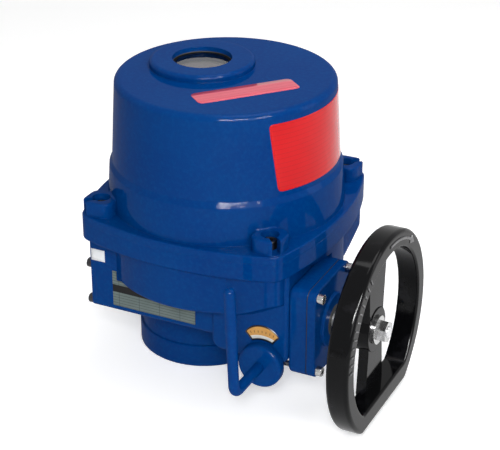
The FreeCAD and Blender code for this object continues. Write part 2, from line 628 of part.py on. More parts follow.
def housing_hollows():
    """Everything that is cut out of the lower casting."""
    high = s.parting_z + 1
    # the machined faces for the end cover and the gear case, cut flat where the bowl would stand in the way
    low_y, high_y = s.box_front_y - 1, s.box_rear_y + 1
    hollows = [block("end_face", (s.box_left_x - 30, low_y, s.end_low_z - 5),
                     (s.box_left_x, high_y, s.end_top_z + 1))]
    low_y, high_y = shaft_y - s.case_width / 2 - 1, shaft_y + s.case_width / 2 + 1
    hollows.append(block("case_face", (s.box_right_x, low_y, s.clutch_low_z - 5),
                         (s.box_right_x + 30, high_y, s.shaft_z + s.case_height / 2 + 1)))
    hollows.append(disc("tub_cavity", s.tub_floor_z, high, s.tub_cavity_r, on_cover))
    hollows.append(disc("wheel_room", s.wheel_chamber_z, high, s.wheel_chamber_r))
    hollows.append(disc("shaft_tunnel", s.box_left_x - 1, s.mid_bearing_x, s.tunnel_r - 2, shaft_line,
                        ALONG_X))
    reach = s.gear_module * math.pi * s.worm_turns / 2 + 14
    hollows.append(block("worm_room", (-reach, shaft_y - s.tunnel_r, s.wheel_chamber_z),
                         (reach, 0, s.shaft_z + s.tunnel_r)))
    hollows.append(disc("left_bearing_seat", s.box_left_x - 1, s.left_bearing_x + s.bearing_width,
                        s.bearing_r, shaft_line, ALONG_X))
    hollows.append(disc("mid_bearing_seat", s.mid_bearing_x, s.room_left_x + 1, s.bearing_r, shaft_line,
                        ALONG_X))
    hollows.append(block("clutch_room", (s.room_left_x, s.room_front_y, s.room_low_z),
                         (s.room_right_x, s.room_rear_y, s.tub_floor_z + 1)))
    hollows.append(disc("hand_opening", s.room_right_x - 1, s.box_right_x + 1, s.case_cavity_r, shaft_line,
                        ALONG_X))
    fork = (s.lever_x, 0, s.lever_z)
    hollows.append(disc("fork_room", -shaft_y - 11, -s.room_front_y, s.fork_hub_r + 2, fork, AGAINST_Y))
    hollows.append(block("fork_slot", (s.lever_x - s.fork_hub_r - 2, s.room_front_y, s.lever_z),
                         (s.lever_x + s.fork_hub_r + 2, shaft_y + 11, s.room_low_z + 1)))
    hollows.append(disc("lever_hole", -s.room_front_y - 1, -s.clutch_front_y + 2,
                        s.lever_shaft_r + s.running_gap, fork, AGAINST_Y))
    hollows.append(disc("lever_seal_seat", -s.clutch_front_y - 3.5, -s.clutch_front_y + 2,
                        s.lever_shaft_r + 3, fork, AGAINST_Y))
    # the output bore, widest at the seal and the lower bush
    hollows.append(disc("spigot", -1, s.spigot_depth, s.spigot_r))
    seal_z = s.sleeve_low_z + 1
    hollows.append(disc("sleeve_hole", -1, seal_z, s.sleeve_seal_r + 2))
    hollows.append(disc("seal_seat", seal_z, seal_z + s.seal_thick, s.sleeve_seal_r + 8))
    hollows.append(disc("sleeve_clear", -1, s.wheel_chamber_z + 1, s.sleeve_r + 0.6))
    bush_top = s.low_bush_z + s.low_bush_length
    hollows.append(disc("bush_seat", s.low_bush_z, bush_top, s.sleeve_r + s.bush_wall))
    hollows.append(disc("collar_room", bush_top, s.wheel_chamber_z + 1, s.sleeve_collar_r + 2))
    for i in range(4):
        angle = 45 + 90 * i
        x, y = s.mount_pcd / 2 * cosine(angle), s.mount_pcd / 2 * sine(angle)
        hollows.append(disc("mount_hole", -1, s.mount_hole_depth, s.mount_hole_r, (x, y, 0)))
    for x, y in ear_places:
        hollows.append(disc("cover_thread", s.ear_floor_z - s.cover_bolt_length - 2, high,
                            s.cover_bolt_d / 2, (x, y, 0)))
    for side in (-1, 1):
        hollows.append(disc("cable_entry", s.tub_cavity_r / 2, s.entry_boss_y + 1, s.entry_hole_r,
                            (s.cover_x + side * s.entry_spread, 0, s.entry_z), ALONG_Y))
    half = s.seal_width / 2
    hollows.append(turned_ring("seal_groove", s.parting_z - s.seal_depth, high, s.seal_groove_r - half,
                               s.seal_groove_r + half, on_cover))
    for y, z in square_places(shaft_y, s.shaft_z, s.end_screw_y, s.end_screw_z):
        hollows.append(disc("end_thread", s.box_left_x - 1, s.box_left_x + s.end_screw_length,
                            s.end_screw_d / 2, (0, y, z), ALONG_X))
    case_depth = s.case_screw_length - s.case_length - s.case_gasket - s.case_cover
    for y, z in square_places(shaft_y, s.shaft_z, s.case_screw_y, s.case_screw_z):
        hollows.append(disc("case_thread", s.box_right_x - case_depth - 2, s.box_right_x + 1,
                            s.case_screw_d / 2, (0, y, z), ALONG_X))
    for i in range(4):
        angle = 90 * i
        x, y = s.lid_screw_pcr * cosine(angle), s.lid_screw_pcr * sine(angle)
        hollows.append(disc("lid_thread", s.tub_floor_z - 9, s.tub_floor_z + 1, 2.5, (x, y, 0)))
    return hollows


def lower_housing():
    casting = join("casting", housing_forms())
    node("lower_housing", less("lower_housing", casting, housing_hollows()))


def end_cover():
    """The plate that closes the left end of the worm shaft box."""
    middle_z, half_z = (s.end_low_z + s.end_top_z) / 2, (s.end_top_z - s.end_low_z) / 2
    middle_y, half_y = (s.box_front_y + s.box_rear_y) / 2, (s.box_rear_y - s.box_front_y) / 2
    plate = new_body("end_cover")
    sketch = new_sketch(plate, "YZ_Plane", s.box_left_x - s.end_cover)
    rounded(sketch, middle_y, middle_z, half_y, half_z, s.box_round)
    pad = feature(plate, "Pad", sketch, Length=s.end_cover)
    outer = (s.box_left_x - s.end_cover).value
    soften(plate, pad, 1, lambda e: abs(e.BoundBox.XMax - outer) < 0.01)
    spigot = new_sketch(plate, "YZ_Plane", s.box_left_x)
    circle(spigot, shaft_y, s.shaft_z, s.bearing_r - s.running_gap)
    circle(spigot, shaft_y, s.shaft_z, s.bearing_r - 4)
    feature(plate, "Pad", spigot, Length=s.left_bearing_x - s.box_left_x)
    holes = new_sketch(plate, "YZ_Plane", s.box_left_x)
    places = square_places(shaft_y, s.shaft_z, s.end_screw_y, s.end_screw_z)
    for y, z in places:
        circle(holes, y, z, s.end_screw_d / 2 + s.hole_gap)
    feature(plate, "Pocket", holes, Length=s.end_cover + 1)
    node("end_cover", plate)
    x = s.box_left_x - s.end_cover
    screws = [socket_screw("end_screw", s.end_screw_d, s.end_screw_length, (x, y, z), AGAINST_X)
              for y, z in places]
    node("end_cover_screws", group("end_cover_screws", screws))


def ball_bearing(label, x):
    """A shielded ball bearing, its two races shown by the sunken shield between them."""
    race, sunk = 3, 0.8
    high = x + s.bearing_width
    inner, outer = s.shaft_r + s.running_gap / 2, s.bearing_r
    inner_edge, outer_edge = inner + race, outer - race
    node(label, turned(label, [
        (x, inner), (x, inner_edge), (x + sunk, inner_edge), (x + sunk, outer_edge), (x, outer_edge),
        (x, outer), (high, outer), (high, outer_edge), (high - sunk, outer_edge), (high - sunk, inner_edge),
        (high, inner_edge), (high, inner)], shaft_line, ALONG_X))


def helix_thread(start_turn, turns, pitch, root_r, crest_r, root_half, crest_half):
    """A left-hand thread about Z, centred on the origin, to be fused to its core."""
    length = turns * pitch
    spine = Part.makeHelix(pitch, length, root_r, 0, True)
    deep = root_r - 0.6
    corners = [(deep, -root_half), (crest_r, -crest_half), (crest_r, crest_half), (deep, root_half)]
    points = [Vector(r, 0, z) for r, z in corners]
    profile = Part.makePolygon(points + points[:1])
    thread = Part.Wire(spine).makePipeShell([profile], True, True)
    thread.translate(Vector(0, 0, -length / 2))
    thread.rotate(Vector(), Vector(0, 0, 1), start_turn)
    return thread


def worm_shaft():
    """The worm and its shaft, with the hexagon that carries the clutch collar."""
    pitch = math.pi * s.gear_module.value
    deep = s.worm_pitch_r - s.gear_module * 1.25
    crest = s.worm_pitch_r + s.gear_module
    half = pitch / 4 - s.tooth_play.value
    slope = math.tan(math.radians(20))
    root_half = half + slope * (s.worm_pitch_r - deep).value
    crest_half = half - slope * s.gear_module.value
    thread = helix_thread(270, s.worm_turns.value, pitch, deep.value, crest.value, root_half, crest_half)
    reach = pitch * s.worm_turns.value / 2 + 4
    start, end = s.left_bearing_x.value + 1, s.hex_start_x.value
    core = Part.makeCylinder(s.shaft_r.value, end - start, Vector(0, 0, start))
    body = Part.makeCylinder(deep.value, 2 * reach, Vector(0, 0, -reach))
    # shoulders that locate the two bearings
    left = s.left_bearing_x.value + s.bearing_width.value
    right = s.mid_bearing_x.value
    wide, long = 11.5, 6
    collars = [Part.makeCylinder(wide, long, Vector(0, 0, z)) for z in (left, right - long)]
    corner = s.hex_flats.value / math.sqrt(3)
    points = [Vector(corner * math.cos(math.radians(60 * i)), corner * math.sin(math.radians(60 * i)), end)
              for i in range(7)]
    hexagon_end = Part.Face(Part.makePolygon(points)).extrude(Vector(0, 0, s.worm_shaft_end_x.value - end))
    shape = core.multiFuse([body, thread, hexagon_end] + collars)
    made_shape("worm_shaft", shape, shaft_line, ALONG_X)


def tooth_points(module, teeth, radius_at, half_at, turn):
    """The outline of a straight-cut gear, tooth by tooth, as points about the origin."""
    points = []
    for i in range(teeth):
        middle = turn + 2 * math.pi * i / teeth
        flank = [(r, half_at(r)) for r in radius_at]
        for r, half in flank:
            points.append((r, middle - half))
        for r, half in reversed(flank):
            points.append((r, middle + half))
    return [(r * math.cos(a), r * math.sin(a)) for r, a in points]


def involute_half(module, teeth, play):
    """Half the angle of a tooth at a radius, for involute flanks at 20 degrees."""
    pitch_r = module * teeth / 2
    base_r = pitch_r * math.cos(math.radians(20))

    def roll(radius):
        angle = math.acos(min(1, base_r / radius))
        return math.tan(angle) - angle

    pitch_half = math.pi / 2 / teeth - play / pitch_r
    return lambda radius: pitch_half + roll(pitch_r) - roll(max(radius, base_r))


def gear_solid(module, teeth, low, high, play, turn=0.0, twist=0.0):
    """A toothed disc about Z; the twist, in radians, turns its top against its bottom."""
    pitch_r = module * teeth / 2
    radii = [pitch_r - 1.25 * module, pitch_r - 0.3 * module, pitch_r + 0.4 * module, pitch_r + module]
    half = involute_half(module, teeth, play)
    wires = []
    for z, extra in ((low, -twist / 2), (high, twist / 2)):
        points = [Vector(x, y, z) for x, y in tooth_points(module, teeth, radii, half, turn + extra)]
        wires.append(Part.makePolygon(points + points[:1]))
    if twist:
        return Part.makeLoft(wires, True, True)
    return Part.Face(wires[0]).extrude(Vector(0, 0, high - low))


def worm_wheel():
    """The bronze wheel, with its teeth slanted to lie along the worm's thread."""
    module, teeth = s.gear_module.value, int(s.wheel_teeth.value)
    face, middle = s.wheel_face.value, s.shaft_z.value
    pitch_r = module * teeth / 2
    lead_slope = module / (2 * s.worm_pitch_r.value)
    twist = -face * lead_slope / pitch_r
    # a gap, not a tooth, faces the worm
    turn = -math.pi / 2 + math.pi / teeth
    play = s.tooth_play.value / 2
    wheel = gear_solid(module, teeth, middle - face / 2, middle + face / 2, play, turn, twist)
    bore = Part.makeCylinder(s.sleeve_r.value, face + 2, Vector(0, 0, middle - face / 2 - 1))
    pad, height = s.key_width.value, face + 2
    key = Part.makeBox(s.sleeve_r.value + 3.4, pad, height, Vector(0, -pad / 2, middle - face / 2 - 1))
    # the sides are turned away between the rim and the hub
    shape = wheel.cut(bore).cut(key)
    for z in (middle - face / 2, middle + face / 2 - 4):
        ring = Part.makeCylinder(pitch_r - 7, 4, Vector(0, 0, z)).cut(
            Part.makeCylinder(s.sleeve_r.value + 7, 4, Vector(0, 0, z)))
        shape = shape.cut(ring)
    made_shape("worm_wheel", shape)


def output_parts():
    """The drive sleeve that takes the valve's stem, and all that turns or carries it."""
    wheel_low = s.shaft_z - s.wheel_face / 2
    lid_top = s.tub_floor_z + s.lid_thick
    sleeve = new_body("drive_sleeve")
    sketch = new_sketch(sleeve, "XZ_Plane")
    bush_top = s.low_bush_z + s.low_bush_length
    wheel_top, collar_low = wheel_low + s.wheel_face, bush_top + 0.4
    outline(sketch, [(0, s.sleeve_low_z), (s.sleeve_seal_r, s.sleeve_low_z),
                     (s.sleeve_seal_r, s.low_bush_z - 2), (s.sleeve_r, s.low_bush_z),
                     (s.sleeve_r, collar_low), (s.sleeve_collar_r, collar_low),
                     (s.sleeve_collar_r, wheel_low), (s.sleeve_r, wheel_low),
                     (s.sleeve_r, wheel_top), (s.sleeve_top_r, wheel_top), (s.sleeve_top_r, s.sleeve_top_z),
                     (0, s.sleeve_top_z)])
    feature(sleeve, "Revolution", sketch)
    bore = new_sketch(sleeve, "XY_Plane", s.sleeve_low_z + s.bore_depth)
    circle(bore, 0, 0, s.bore_r)
    feature(sleeve, "Pocket", bore, Length=s.bore_depth + 1)
    keyway = new_sketch(sleeve, "XY_Plane", s.sleeve_low_z + s.bore_depth)
    half, deep = s.key_width / 2, s.bore_r + s.keyway_depth
    outline(keyway, [(0, -half), (deep, -half), (deep, half), (0, half)])
    feature(sleeve, "Pocket", keyway, Length=s.bore_depth + 1)
    seat = new_sketch(sleeve, "XY_Plane", s.sleeve_top_z)
    circle(seat, 0, 0, s.indicator_r)
    feature(sleeve, "Pocket", seat, Length=20)
    slot = new_sketch(sleeve, "XY_Plane", wheel_top)
    key_in = s.sleeve_r - 4
    outline(slot, [(key_in, -half), (s.sleeve_r + 1, -half), (s.sleeve_r + 1, half), (key_in, half)])
    feature(sleeve, "Pocket", slot, Length=s.wheel_key_length)
    node("drive_sleeve", sleeve)

    node("wheel_key", block("wheel_key", (key_in, -half, wheel_top - s.wheel_key_length),
                            (s.sleeve_r + 3.3, half, wheel_top)))
    gap = s.running_gap
    node("lower_bush", turned_ring("lower_bush", s.low_bush_z, bush_top, s.sleeve_r + gap,
                                   s.sleeve_r + s.bush_wall))
    seal_z, lip_r = s.sleeve_low_z + 1, s.sleeve_seal_r
    seal_top = seal_z + s.seal_thick
    node("output_seal", turned("output_seal", [
        (seal_z, lip_r + gap), (seal_z, lip_r + 8), (seal_top, lip_r + 8), (seal_top, lip_r + 5),
        (seal_z + 3, lip_r + 3.5), (seal_z + 3, lip_r + gap)]))

    lid = new_body("gear_lid")
    sketch = new_sketch(lid, "XY_Plane", s.tub_floor_z)
    circle(sketch, 0, 0, s.lid_r)
    circle(sketch, 0, 0, s.sleeve_top_r + s.bush_wall)
    pad = feature(lid, "Pad", sketch, Length=s.lid_thick)
    soften(lid, pad, 1.5, lambda e: at_level(e, lid_top) and e.Length > 5 * s.lid_r.value)
    # the lid leaves the worm's side open for the shaft above it
    screw_places = [(s.lid_screw_pcr * cosine(a), s.lid_screw_pcr * sine(a)) for a in (0, 90, 180, 270)]
    holes = new_sketch(lid, "XY_Plane", lid_top)
    for x, y in screw_places[:3]:
        circle(holes, x, y, 2.9)
    feature(lid, "Pocket", holes, Length=s.lid_thick + 1)
    node("gear_lid", lid)
    screws = [socket_screw("lid_screw", 5, s.lid_thick + 8, (x, y, lid_top), UP) for x, y in screw_places[:3]]
    node("lid_screws", group("lid_screws", screws))
    node("upper_bush", turned_ring("upper_bush", s.tub_floor_z, lid_top, s.sleeve_top_r + gap,
                                   s.sleeve_top_r + s.bush_wall))


# The motor's gear train, seen along the shaft: clutch gear, idler above it, pinion straight above the idler
clutch_pitch_r = s.train_module * s.clutch_teeth / 2
idler_pitch_r = s.train_module * s.idler_teeth / 2
pinion_pitch_r = s.train_module * s.pinion_teeth / 2
idler_y = shaft_y + (clutch_pitch_r + idler_pitch_r) * cosine(s.idler_lean)
idler_z = s.shaft_z + (clutch_pitch_r + idler_pitch_r) * sine(s.idler_lean)
motor_z = idler_z + idler_pitch_r + pinion_pitch_r


def dogs(body, level, length):
    """Four driving dogs on a face of a turned piece."""
    sketch = new_sketch(body, "XY_Plane", level)
    half = s.dog_width / 2
    outline(sketch, [(s.dog_in_r, -half), (s.dog_out_r, -half), (s.dog_out_r, half), (s.dog_in_r, half)])
    pad = feature(body, "Pad", sketch, Length=length)
    copies_round(body, pad, sketch, 4)


def gear_train():
    module = s.train_module.value
    counts = [int(t.value) for t in (s.clutch_teeth, s.idler_teeth, s.pinion_teeth)]
    low, high = s.train_x.value, (s.train_x + s.train_width).value
    play = 0.12
    # the outline's angle runs from +Z round towards +Y once the gear is laid along X
    lean = 180 - (90 - s.idler_lean.value)
    turn = gear_phase(counts, lean)

    clutch = gear_solid(module, counts[0], low, high, play, turn[0])
    hub_low = s.mid_bearing_x.value + s.bearing_width.value + 2
    hub = Part.makeCylinder(s.train_hub_r.value, s.gear_hub_x.value - hub_low, Vector(0, 0, hub_low))
    dog_low = s.gear_hub_x.value
    parts = [hub]
    flange = Part.makeCylinder(s.dog_out_r.value + 1, dog_low - high, Vector(0, 0, high))
    parts.append(flange)
    size = s.dog_width.value
    for i in range(4):
        dog = Part.makeBox((s.dog_out_r - s.dog_in_r).value, size, s.dog_length.value,
                           Vector(s.dog_in_r.value, -size / 2, dog_low))
        dog.rotate(Vector(), Vector(0, 0, 1), 45 + 90 * i)
        parts.append(dog)
    shape = clutch.multiFuse(parts)
    bore = Part.makeCylinder((s.shaft_r + s.running_gap).value, 60, Vector(0, 0, hub_low - 10))
    made_shape("clutch_gear", shape.cut(bore), shaft_line, ALONG_X)

    idler = gear_solid(module, counts[1], low, high, play, turn[1])
    hub = Part.makeCylinder(s.idler_pin_r.value + 5, s.train_width.value + 2, Vector(0, 0, low - 1))
    bore = Part.makeCylinder((s.idler_pin_r + s.running_gap).value, 40, Vector(0, 0, low - 10))
    made_shape("idler_gear", idler.fuse(hub).cut(bore), (0, idler_y, idler_z), ALONG_X)

    pinion = gear_solid(module, counts[2], low, high, play, turn[2])
    bore = Part.makeCylinder(s.motor_shaft_r.value, 40, Vector(0, 0, low - 10))
    made_shape("motor_pinion", pinion.cut(bore), (0, idler_y, motor_z), ALONG_X)


def gear_phase(counts, lean):
    """The turns, in radians, of the three gears, so that each pair is in mesh."""
    # angles in the gears' own drawing plane: the idler lies at `lean`, the pinion above the idler at 180
    first = 0.0
    second = lean + 180 + 180 / counts[1] + (lean - math.degrees(first)) * counts[0] / counts[1]
    third = 360 + 180 / counts[2] + (180 - second) * counts[1] / counts[2]
    return [first, math.radians(second), math.radians(third)]


def motor_parts():
    line = (0, idler_y, motor_z)
    back = s.bracket_x - s.motor_length
    front = s.bracket_x
    inner, waist = s.motor_shaft_r + 0.3, s.motor_r - 2
    node("motor", turned("motor", [
        (back, inner), (back, s.motor_r - 5), (back + 3, waist), (back + 18, waist), (back + 18, s.motor_r),
        (front - 8, s.motor_r), (front - 8, waist), (front, waist), (front, inner)], line, ALONG_X))
    end = s.train_x + s.train_width + 1
    node("motor_shaft", turned("motor_shaft", [
        (back + 4, 0), (back + 4, s.motor_shaft_r), (end, s.motor_shaft_r), (end, 0)], line, ALONG_X))
    node("idler_pin", turned("idler_pin", [
        (s.bracket_x, 0), (s.bracket_x, s.idler_pin_r), (end + 1, s.idler_pin_r), (end + 1, 0)],
        (0, idler_y, idler_z), ALONG_X))

    # an upright plate on the tub floor carries the motor and the idler's pin
    plate = new_body("motor_bracket")
    sketch = new_sketch(plate, "YZ_Plane", s.bracket_x)
    low, high = s.tub_floor_z, motor_z + s.motor_r + 3
    half = s.motor_r + 3
    outline(sketch, [(idler_y - half, low), (idler_y + half, low), (idler_y + half, high - 12),
                     (idler_y + half - 12, high), (idler_y - half + 12, high), (idler_y - half, high - 12)])
    circle(sketch, idler_y, motor_z, s.motor_shaft_r + 3)
    circle(sketch, idler_y, idler_z, s.idler_pin_r)
    feature(plate, "Pad", sketch, Length=s.bracket_thick)
    room = new_sketch(plate, "YZ_Plane", s.bracket_x)
    circle(room, shaft_y, s.shaft_z, s.bearing_r + 4)
    feature(plate, "Pocket", room, Length=s.bracket_thick + 1, Reversed=True)
    foot = new_sketch(plate, "XY_Plane", s.tub_floor_z)
    outline(foot, [(s.bracket_x - 14, idler_y), (s.bracket_x, idler_y), (s.bracket_x, idler_y + half),
                   (s.bracket_x - 14, idler_y + half)])
    feature(plate, "Pad", foot, Length=s.bracket_thick)
    node("motor_bracket", plate)


def clutch_collar():
    """The sliding collar: a hexagon bore, a groove for the fork and dogs on both faces."""
    middle = collar_x()
    collar = new_body("clutch_collar", shaft_line, ALONG_X)
    sketch = new_sketch(collar, "XZ_Plane")
    low, high = middle - s.collar_half, middle + s.collar_half
    half = s.groove_width / 2
    outline(sketch, [(0, low), (s.collar_r, low), (s.collar_r, middle - half), (s.groove_r, middle - half),
                     (s.groove_r, middle + half), (s.collar_r, middle + half), (s.collar_r, high), (0, high)])
    feature(collar, "Revolution", sketch)
    dogs(collar, high, s.dog_length)
    dogs(collar, low - s.dog_length, s.dog_length)
    bore = new_sketch(collar, "XY_Plane", high + s.dog_length)
    hexagon(bore, s.hex_flats + s.hex_gap)
    feature(collar, "Pocket", bore, Length=s.collar_half * 2 + s.dog_length * 2 + 1)
    node("clutch_collar", collar)


def collar_x():
    """Where the fork holds the collar with the lever at rest."""
    return s.lever_x + s.fork_reach * sine(s.fork_lean)


def hand_shaft():
    """The handwheel's shaft, with dogs at its inner end and a thread at its outer end."""
    face = collar_x() + s.collar_half + s.dog_gap + s.dog_length
    shaft = new_body("handwheel_shaft", shaft_line, ALONG_X)
    sketch = new_sketch(shaft, "XZ_Plane")
    hub_end = s.hub_x + s.hub_length
    thread_end = hub_end + s.washer_thick + s.nut_high + 1.5
    head_r, shoulder_r = s.dog_out_r + 1, s.shaft_r + 3
    outline(sketch, [(0, face), (head_r, face), (head_r, s.hand_bearing_x - 3),
                     (shoulder_r, s.hand_bearing_x),
                     (s.shaft_r, s.hand_bearing_x), (s.shaft_r, s.hub_x), (s.hub_bore_r, s.hub_x),
                     (s.hub_bore_r, hub_end - 1), (s.nut_d / 2, hub_end - 1), (s.nut_d / 2, thread_end - 1),
                     (s.nut_d / 2 - 1, thread_end), (0, thread_end)])
    feature(shaft, "Revolution", sketch)
    sketch = new_sketch(shaft, "XY_Plane", face - s.dog_length)
    half, slant = s.dog_width / 2, math.sqrt(0.5)
    corners = [(s.dog_in_r, -half), (s.dog_out_r, -half), (s.dog_out_r, half), (s.dog_in_r, half)]
    outline(sketch, [((a - b) * slant, (a + b) * slant) for a, b in corners])
    pad = feature(shaft, "Pad", sketch, Length=s.dog_length)
    copies_round(shaft, pad, sketch, 4)
    recess = new_sketch(shaft, "XY_Plane", face + 1)
    circle(recess, 0, 0, s.dog_in_r - 0.5)
    feature(shaft, "Pocket", recess, Length=s.dog_length + 1)
    node("handwheel_shaft", shaft)


def lever_parts():
    """The hand lever: disc hub, bent rod, cross shaft, seal and the fork that shifts the collar."""
    line = (s.lever_x, 0, s.lever_z)
    back = -s.clutch_front_y + s.lever_disc_gap
    front = back + s.lever_disc_thick
    middle = back + s.lever_disc_thick / 2
    hub = new_body("lever_hub", line, AGAINST_Y)
    sketch = new_sketch(hub, "XZ_Plane")
    outline(sketch, [(0, back), (s.lever_disc_r, back), (s.lever_disc_r, front), (0, front)])
    turned_disc = feature(hub, "Revolution", sketch)
    soften(hub, turned_disc, s.lever_disc_round, lambda e: at_level(e, front) or at_hub_front(e, front))
    hole = new_sketch(hub, "XY_Plane", front)
    circle(hole, 0, 0, s.rod_r)
    feature(hub, "Pocket", hole, Length=s.lever_disc_thick / 2)
    hole = new_sketch(hub, "XY_Plane", middle)
    circle(hole, 0, 0, s.lever_shaft_r)
    feature(hub, "Pocket", hole, Length=s.lever_disc_thick / 2 + 1)
    node("lever_hub", hub)

    rod = new_body("lever_rod", line, Rotation(Vector(0, 1, 0), -s.rod_lean.value))
    path = new_sketch(rod, "YZ_Plane")
    corner_y, rise = s.rod_out_y, s.rod_top_z - s.lever_z
    bend = s.rod_bend
    path.addGeometry(Part.LineSegment(point(-middle, 0), point(corner_y + bend, 0)), False)
    ring = Part.Circle(point(corner_y + bend, bend), Vector(0, 0, 1), bend.value)
    path.addGeometry(Part.ArcOfCircle(ring, math.radians(180), math.radians(270)), False)
    path.addGeometry(Part.LineSegment(point(corner_y, bend), point(corner_y, rise)), False)
    path.addConstraint(Sketcher.Constraint("Coincident", 0, 2, 1, 2))
    path.addConstraint(Sketcher.Constraint("Coincident", 1, 1, 2, 1))
    pin_point(path, 0, 1, -middle, 0)
    pin_point(path, 0, 2, corner_y + bend, 0)
    pin_point(path, 2, 1, corner_y, bend)
    pin_point(path, 2, 2, corner_y, rise)
    fix_radius(path, 1, bend)
    profile = new_sketch(rod, "XZ_Plane", middle)
    circle(profile, 0, 0, s.rod_r)
    pipe = rod.newObject("PartDesign::AdditivePipe", fresh("rod_pipe"))
    pipe.Profile = profile
    pipe.Spine = (path, ["Edge1", "Edge2", "Edge3"])
    soften(rod, pipe, s.rod_r * 0.7, lambda e: abs(e.CenterOfMass.z - rise.value) < 1 and e.Length > 5
           and abs(e.BoundBox.ZLength) < 1)
    node("lever_rod", rod)

    seal_back = -s.clutch_front_y - 3.5
    node("lever_seal", turned_ring("lever_seal", seal_back, seal_back + 3, s.lever_shaft_r + s.running_gap,
                                   s.lever_shaft_r + 3, line, AGAINST_Y))
    fork_front, fork_back = -s.room_front_y - 1, -shaft_y - 10
    shaft = turned("lever_shaft", [(fork_back, 0), (fork_back, s.lever_shaft_r), (middle, s.lever_shaft_r),
                                   (middle, 0)], line, AGAINST_Y)
    node("lever_shaft", shaft)
    node("shift_fork", shift_fork(fork_back, line))


def at_hub_front(edge, front):
    return abs(edge.CenterOfMass.z - front.value) < 0.01 and edge.Length > 20


def shift_fork(back, line):
    """The fork on the lever's shaft, leaning to the groove of the collar."""
    fork = new_body("shift_fork", line, AGAINST_Y)
    arm_low, arm_high = -shaft_y - 5, -shaft_y + 5
    hub = new_sketch(fork, "XY_Plane", back)
    circle(hub, 0, 0, s.fork_hub_r)
    feature(fork, "Pad", hub, Length=arm_high - back + 8)
    # drawn with x along the arm's lean and y up, as the local plane has +Z of the object as its +Y
    tip_x, tip_y = s.fork_reach * sine(s.fork_lean), s.fork_reach * cosine(s.fork_lean)
    side_x, side_y = s.fork_pin_r * cosine(s.fork_lean), s.fork_pin_r * sine(s.fork_lean)
    arm = new_sketch(fork, "XY_Plane", arm_low)
    outline(arm, [(-side_x, side_y), (side_x, -side_y), (tip_x + side_x, tip_y - side_y),
                  (tip_x - side_x, tip_y + side_y)])
    feature(fork, "Pad", arm, Length=arm_high - arm_low)
    tip = new_sketch(fork, "XY_Plane", arm_low)
    circle(tip, tip_x, tip_y, s.fork_pin_r)
    feature(fork, "Pad", tip, Length=arm_high - arm_low)
    bore = new_sketch(fork, "XY_Plane", arm_high + 10)
    circle(bore, 0, 0, s.lever_shaft_r)
    feature(fork, "Pocket", bore, Length=60)
    return fork


def case_outline(body, level, inset=0.0):
    sketch = new_sketch(body, "YZ_Plane", level)
    half_y, half_z = s.case_width / 2 - inset, s.case_height / 2 - inset
    rounded(sketch, shaft_y, s.shaft_z, half_y, half_z, s.case_round - inset)
    return sketch


def hand_case():
    """The case that carries the handwheel's shaft, its gasket, cover plate and screws."""
    start = s.box_right_x
    gasket_x = start + s.case_length
    cover_x = gasket_x + s.case_gasket
    front = cover_x + s.case_cover
    places = square_places(shaft_y, s.shaft_z, s.case_screw_y, s.case_screw_z)

    case = new_body("hand_case")
    pad = feature(case, "Pad", case_outline(case, start), Length=s.case_length)
    left = start.value
    soften(case, pad, 3, lambda e: abs(e.BoundBox.XMax - left) < 0.01)
    room = new_sketch(case, "YZ_Plane", start)
    circle(room, shaft_y, s.shaft_z, s.case_cavity_r)
    feature(case, "Pocket", room, Length=s.hand_bearing_x - start, Reversed=True)
    seat = new_sketch(case, "YZ_Plane", start)
    circle(seat, shaft_y, s.shaft_z, s.bearing_r)
    feature(case, "Pocket", seat, Length=s.hand_bearing_x + s.bearing_width - start, Reversed=True)
    bore = new_sketch(case, "YZ_Plane", gasket_x)
    circle(bore, shaft_y, s.shaft_z, s.shaft_r + 2)
    feature(case, "Pocket", bore, Length=s.case_length)
    holes = new_sketch(case, "YZ_Plane", gasket_x)
    for y, z in places:
        circle(holes, y, z, s.case_screw_d / 2 + s.hole_gap)
    feature(case, "Pocket", holes, Length=s.case_length)
    node("hand_case", case)

    gasket = new_body("case_gasket")
    sketch = case_outline(gasket, gasket_x, 0.8)
    circle(sketch, shaft_y, s.shaft_z, s.bearing_r)
    for y, z in places:
        circle(sketch, y, z, s.case_screw_d / 2 + s.hole_gap)
    feature(gasket, "Pad", sketch, Length=s.case_gasket)
    node("case_gasket", gasket)

    cover = new_body("hand_cover")
    pad = feature(cover, "Pad", case_outline(cover, cover_x), Length=s.case_cover)
    soften(cover, pad, 1.5, lambda e: abs(e.BoundBox.XMin - front.value) < 0.01)
    boss = new_sketch(cover, "YZ_Plane", front)
    circle(boss, shaft_y, s.shaft_z, s.case_boss_r)
    pad = feature(cover, "Pad", boss, Length=s.case_boss)
    tip = (front + s.case_boss).value
    soften(cover, pad, 1.5, lambda e: abs(e.BoundBox.XMin - tip) < 0.01)
    seat = new_sketch(cover, "YZ_Plane", front + s.case_boss)
    circle(seat, shaft_y, s.shaft_z, s.shaft_r + 7)
    feature(cover, "Pocket", seat, Length=s.seal_thick - 1)
    bore = new_sketch(cover, "YZ_Plane", front)
    circle(bore, shaft_y, s.shaft_z, s.shaft_r + 1)
    feature(cover, "Pocket", bore, Length=s.case_cover + 1)
    holes = new_sketch(cover, "YZ_Plane", front)
    for y, z in places:
        circle(holes, y, z, s.case_screw_d / 2 + s.hole_gap)
    feature(cover, "Pocket", holes, Length=s.case_cover + 1)
    node("hand_cover", cover)

    high, lip_r = front + s.case_boss, s.shaft_r + s.running_gap
    low = high - s.seal_thick + 1
    node("shaft_seal", turned("shaft_seal", [
        (high, lip_r), (high, s.shaft_r + 7), (low, s.shaft_r + 7), (low, s.shaft_r + 5),
        (high - 3, s.shaft_r + 3.5), (high - 3, lip_r)], shaft_line, ALONG_X))
    screws = [socket_screw("case_screw", s.case_screw_d, s.case_screw_length, (front, y, z), ALONG_X)
              for y, z in places]
    node("hand_cover_screws", group("hand_cover_screws", screws))


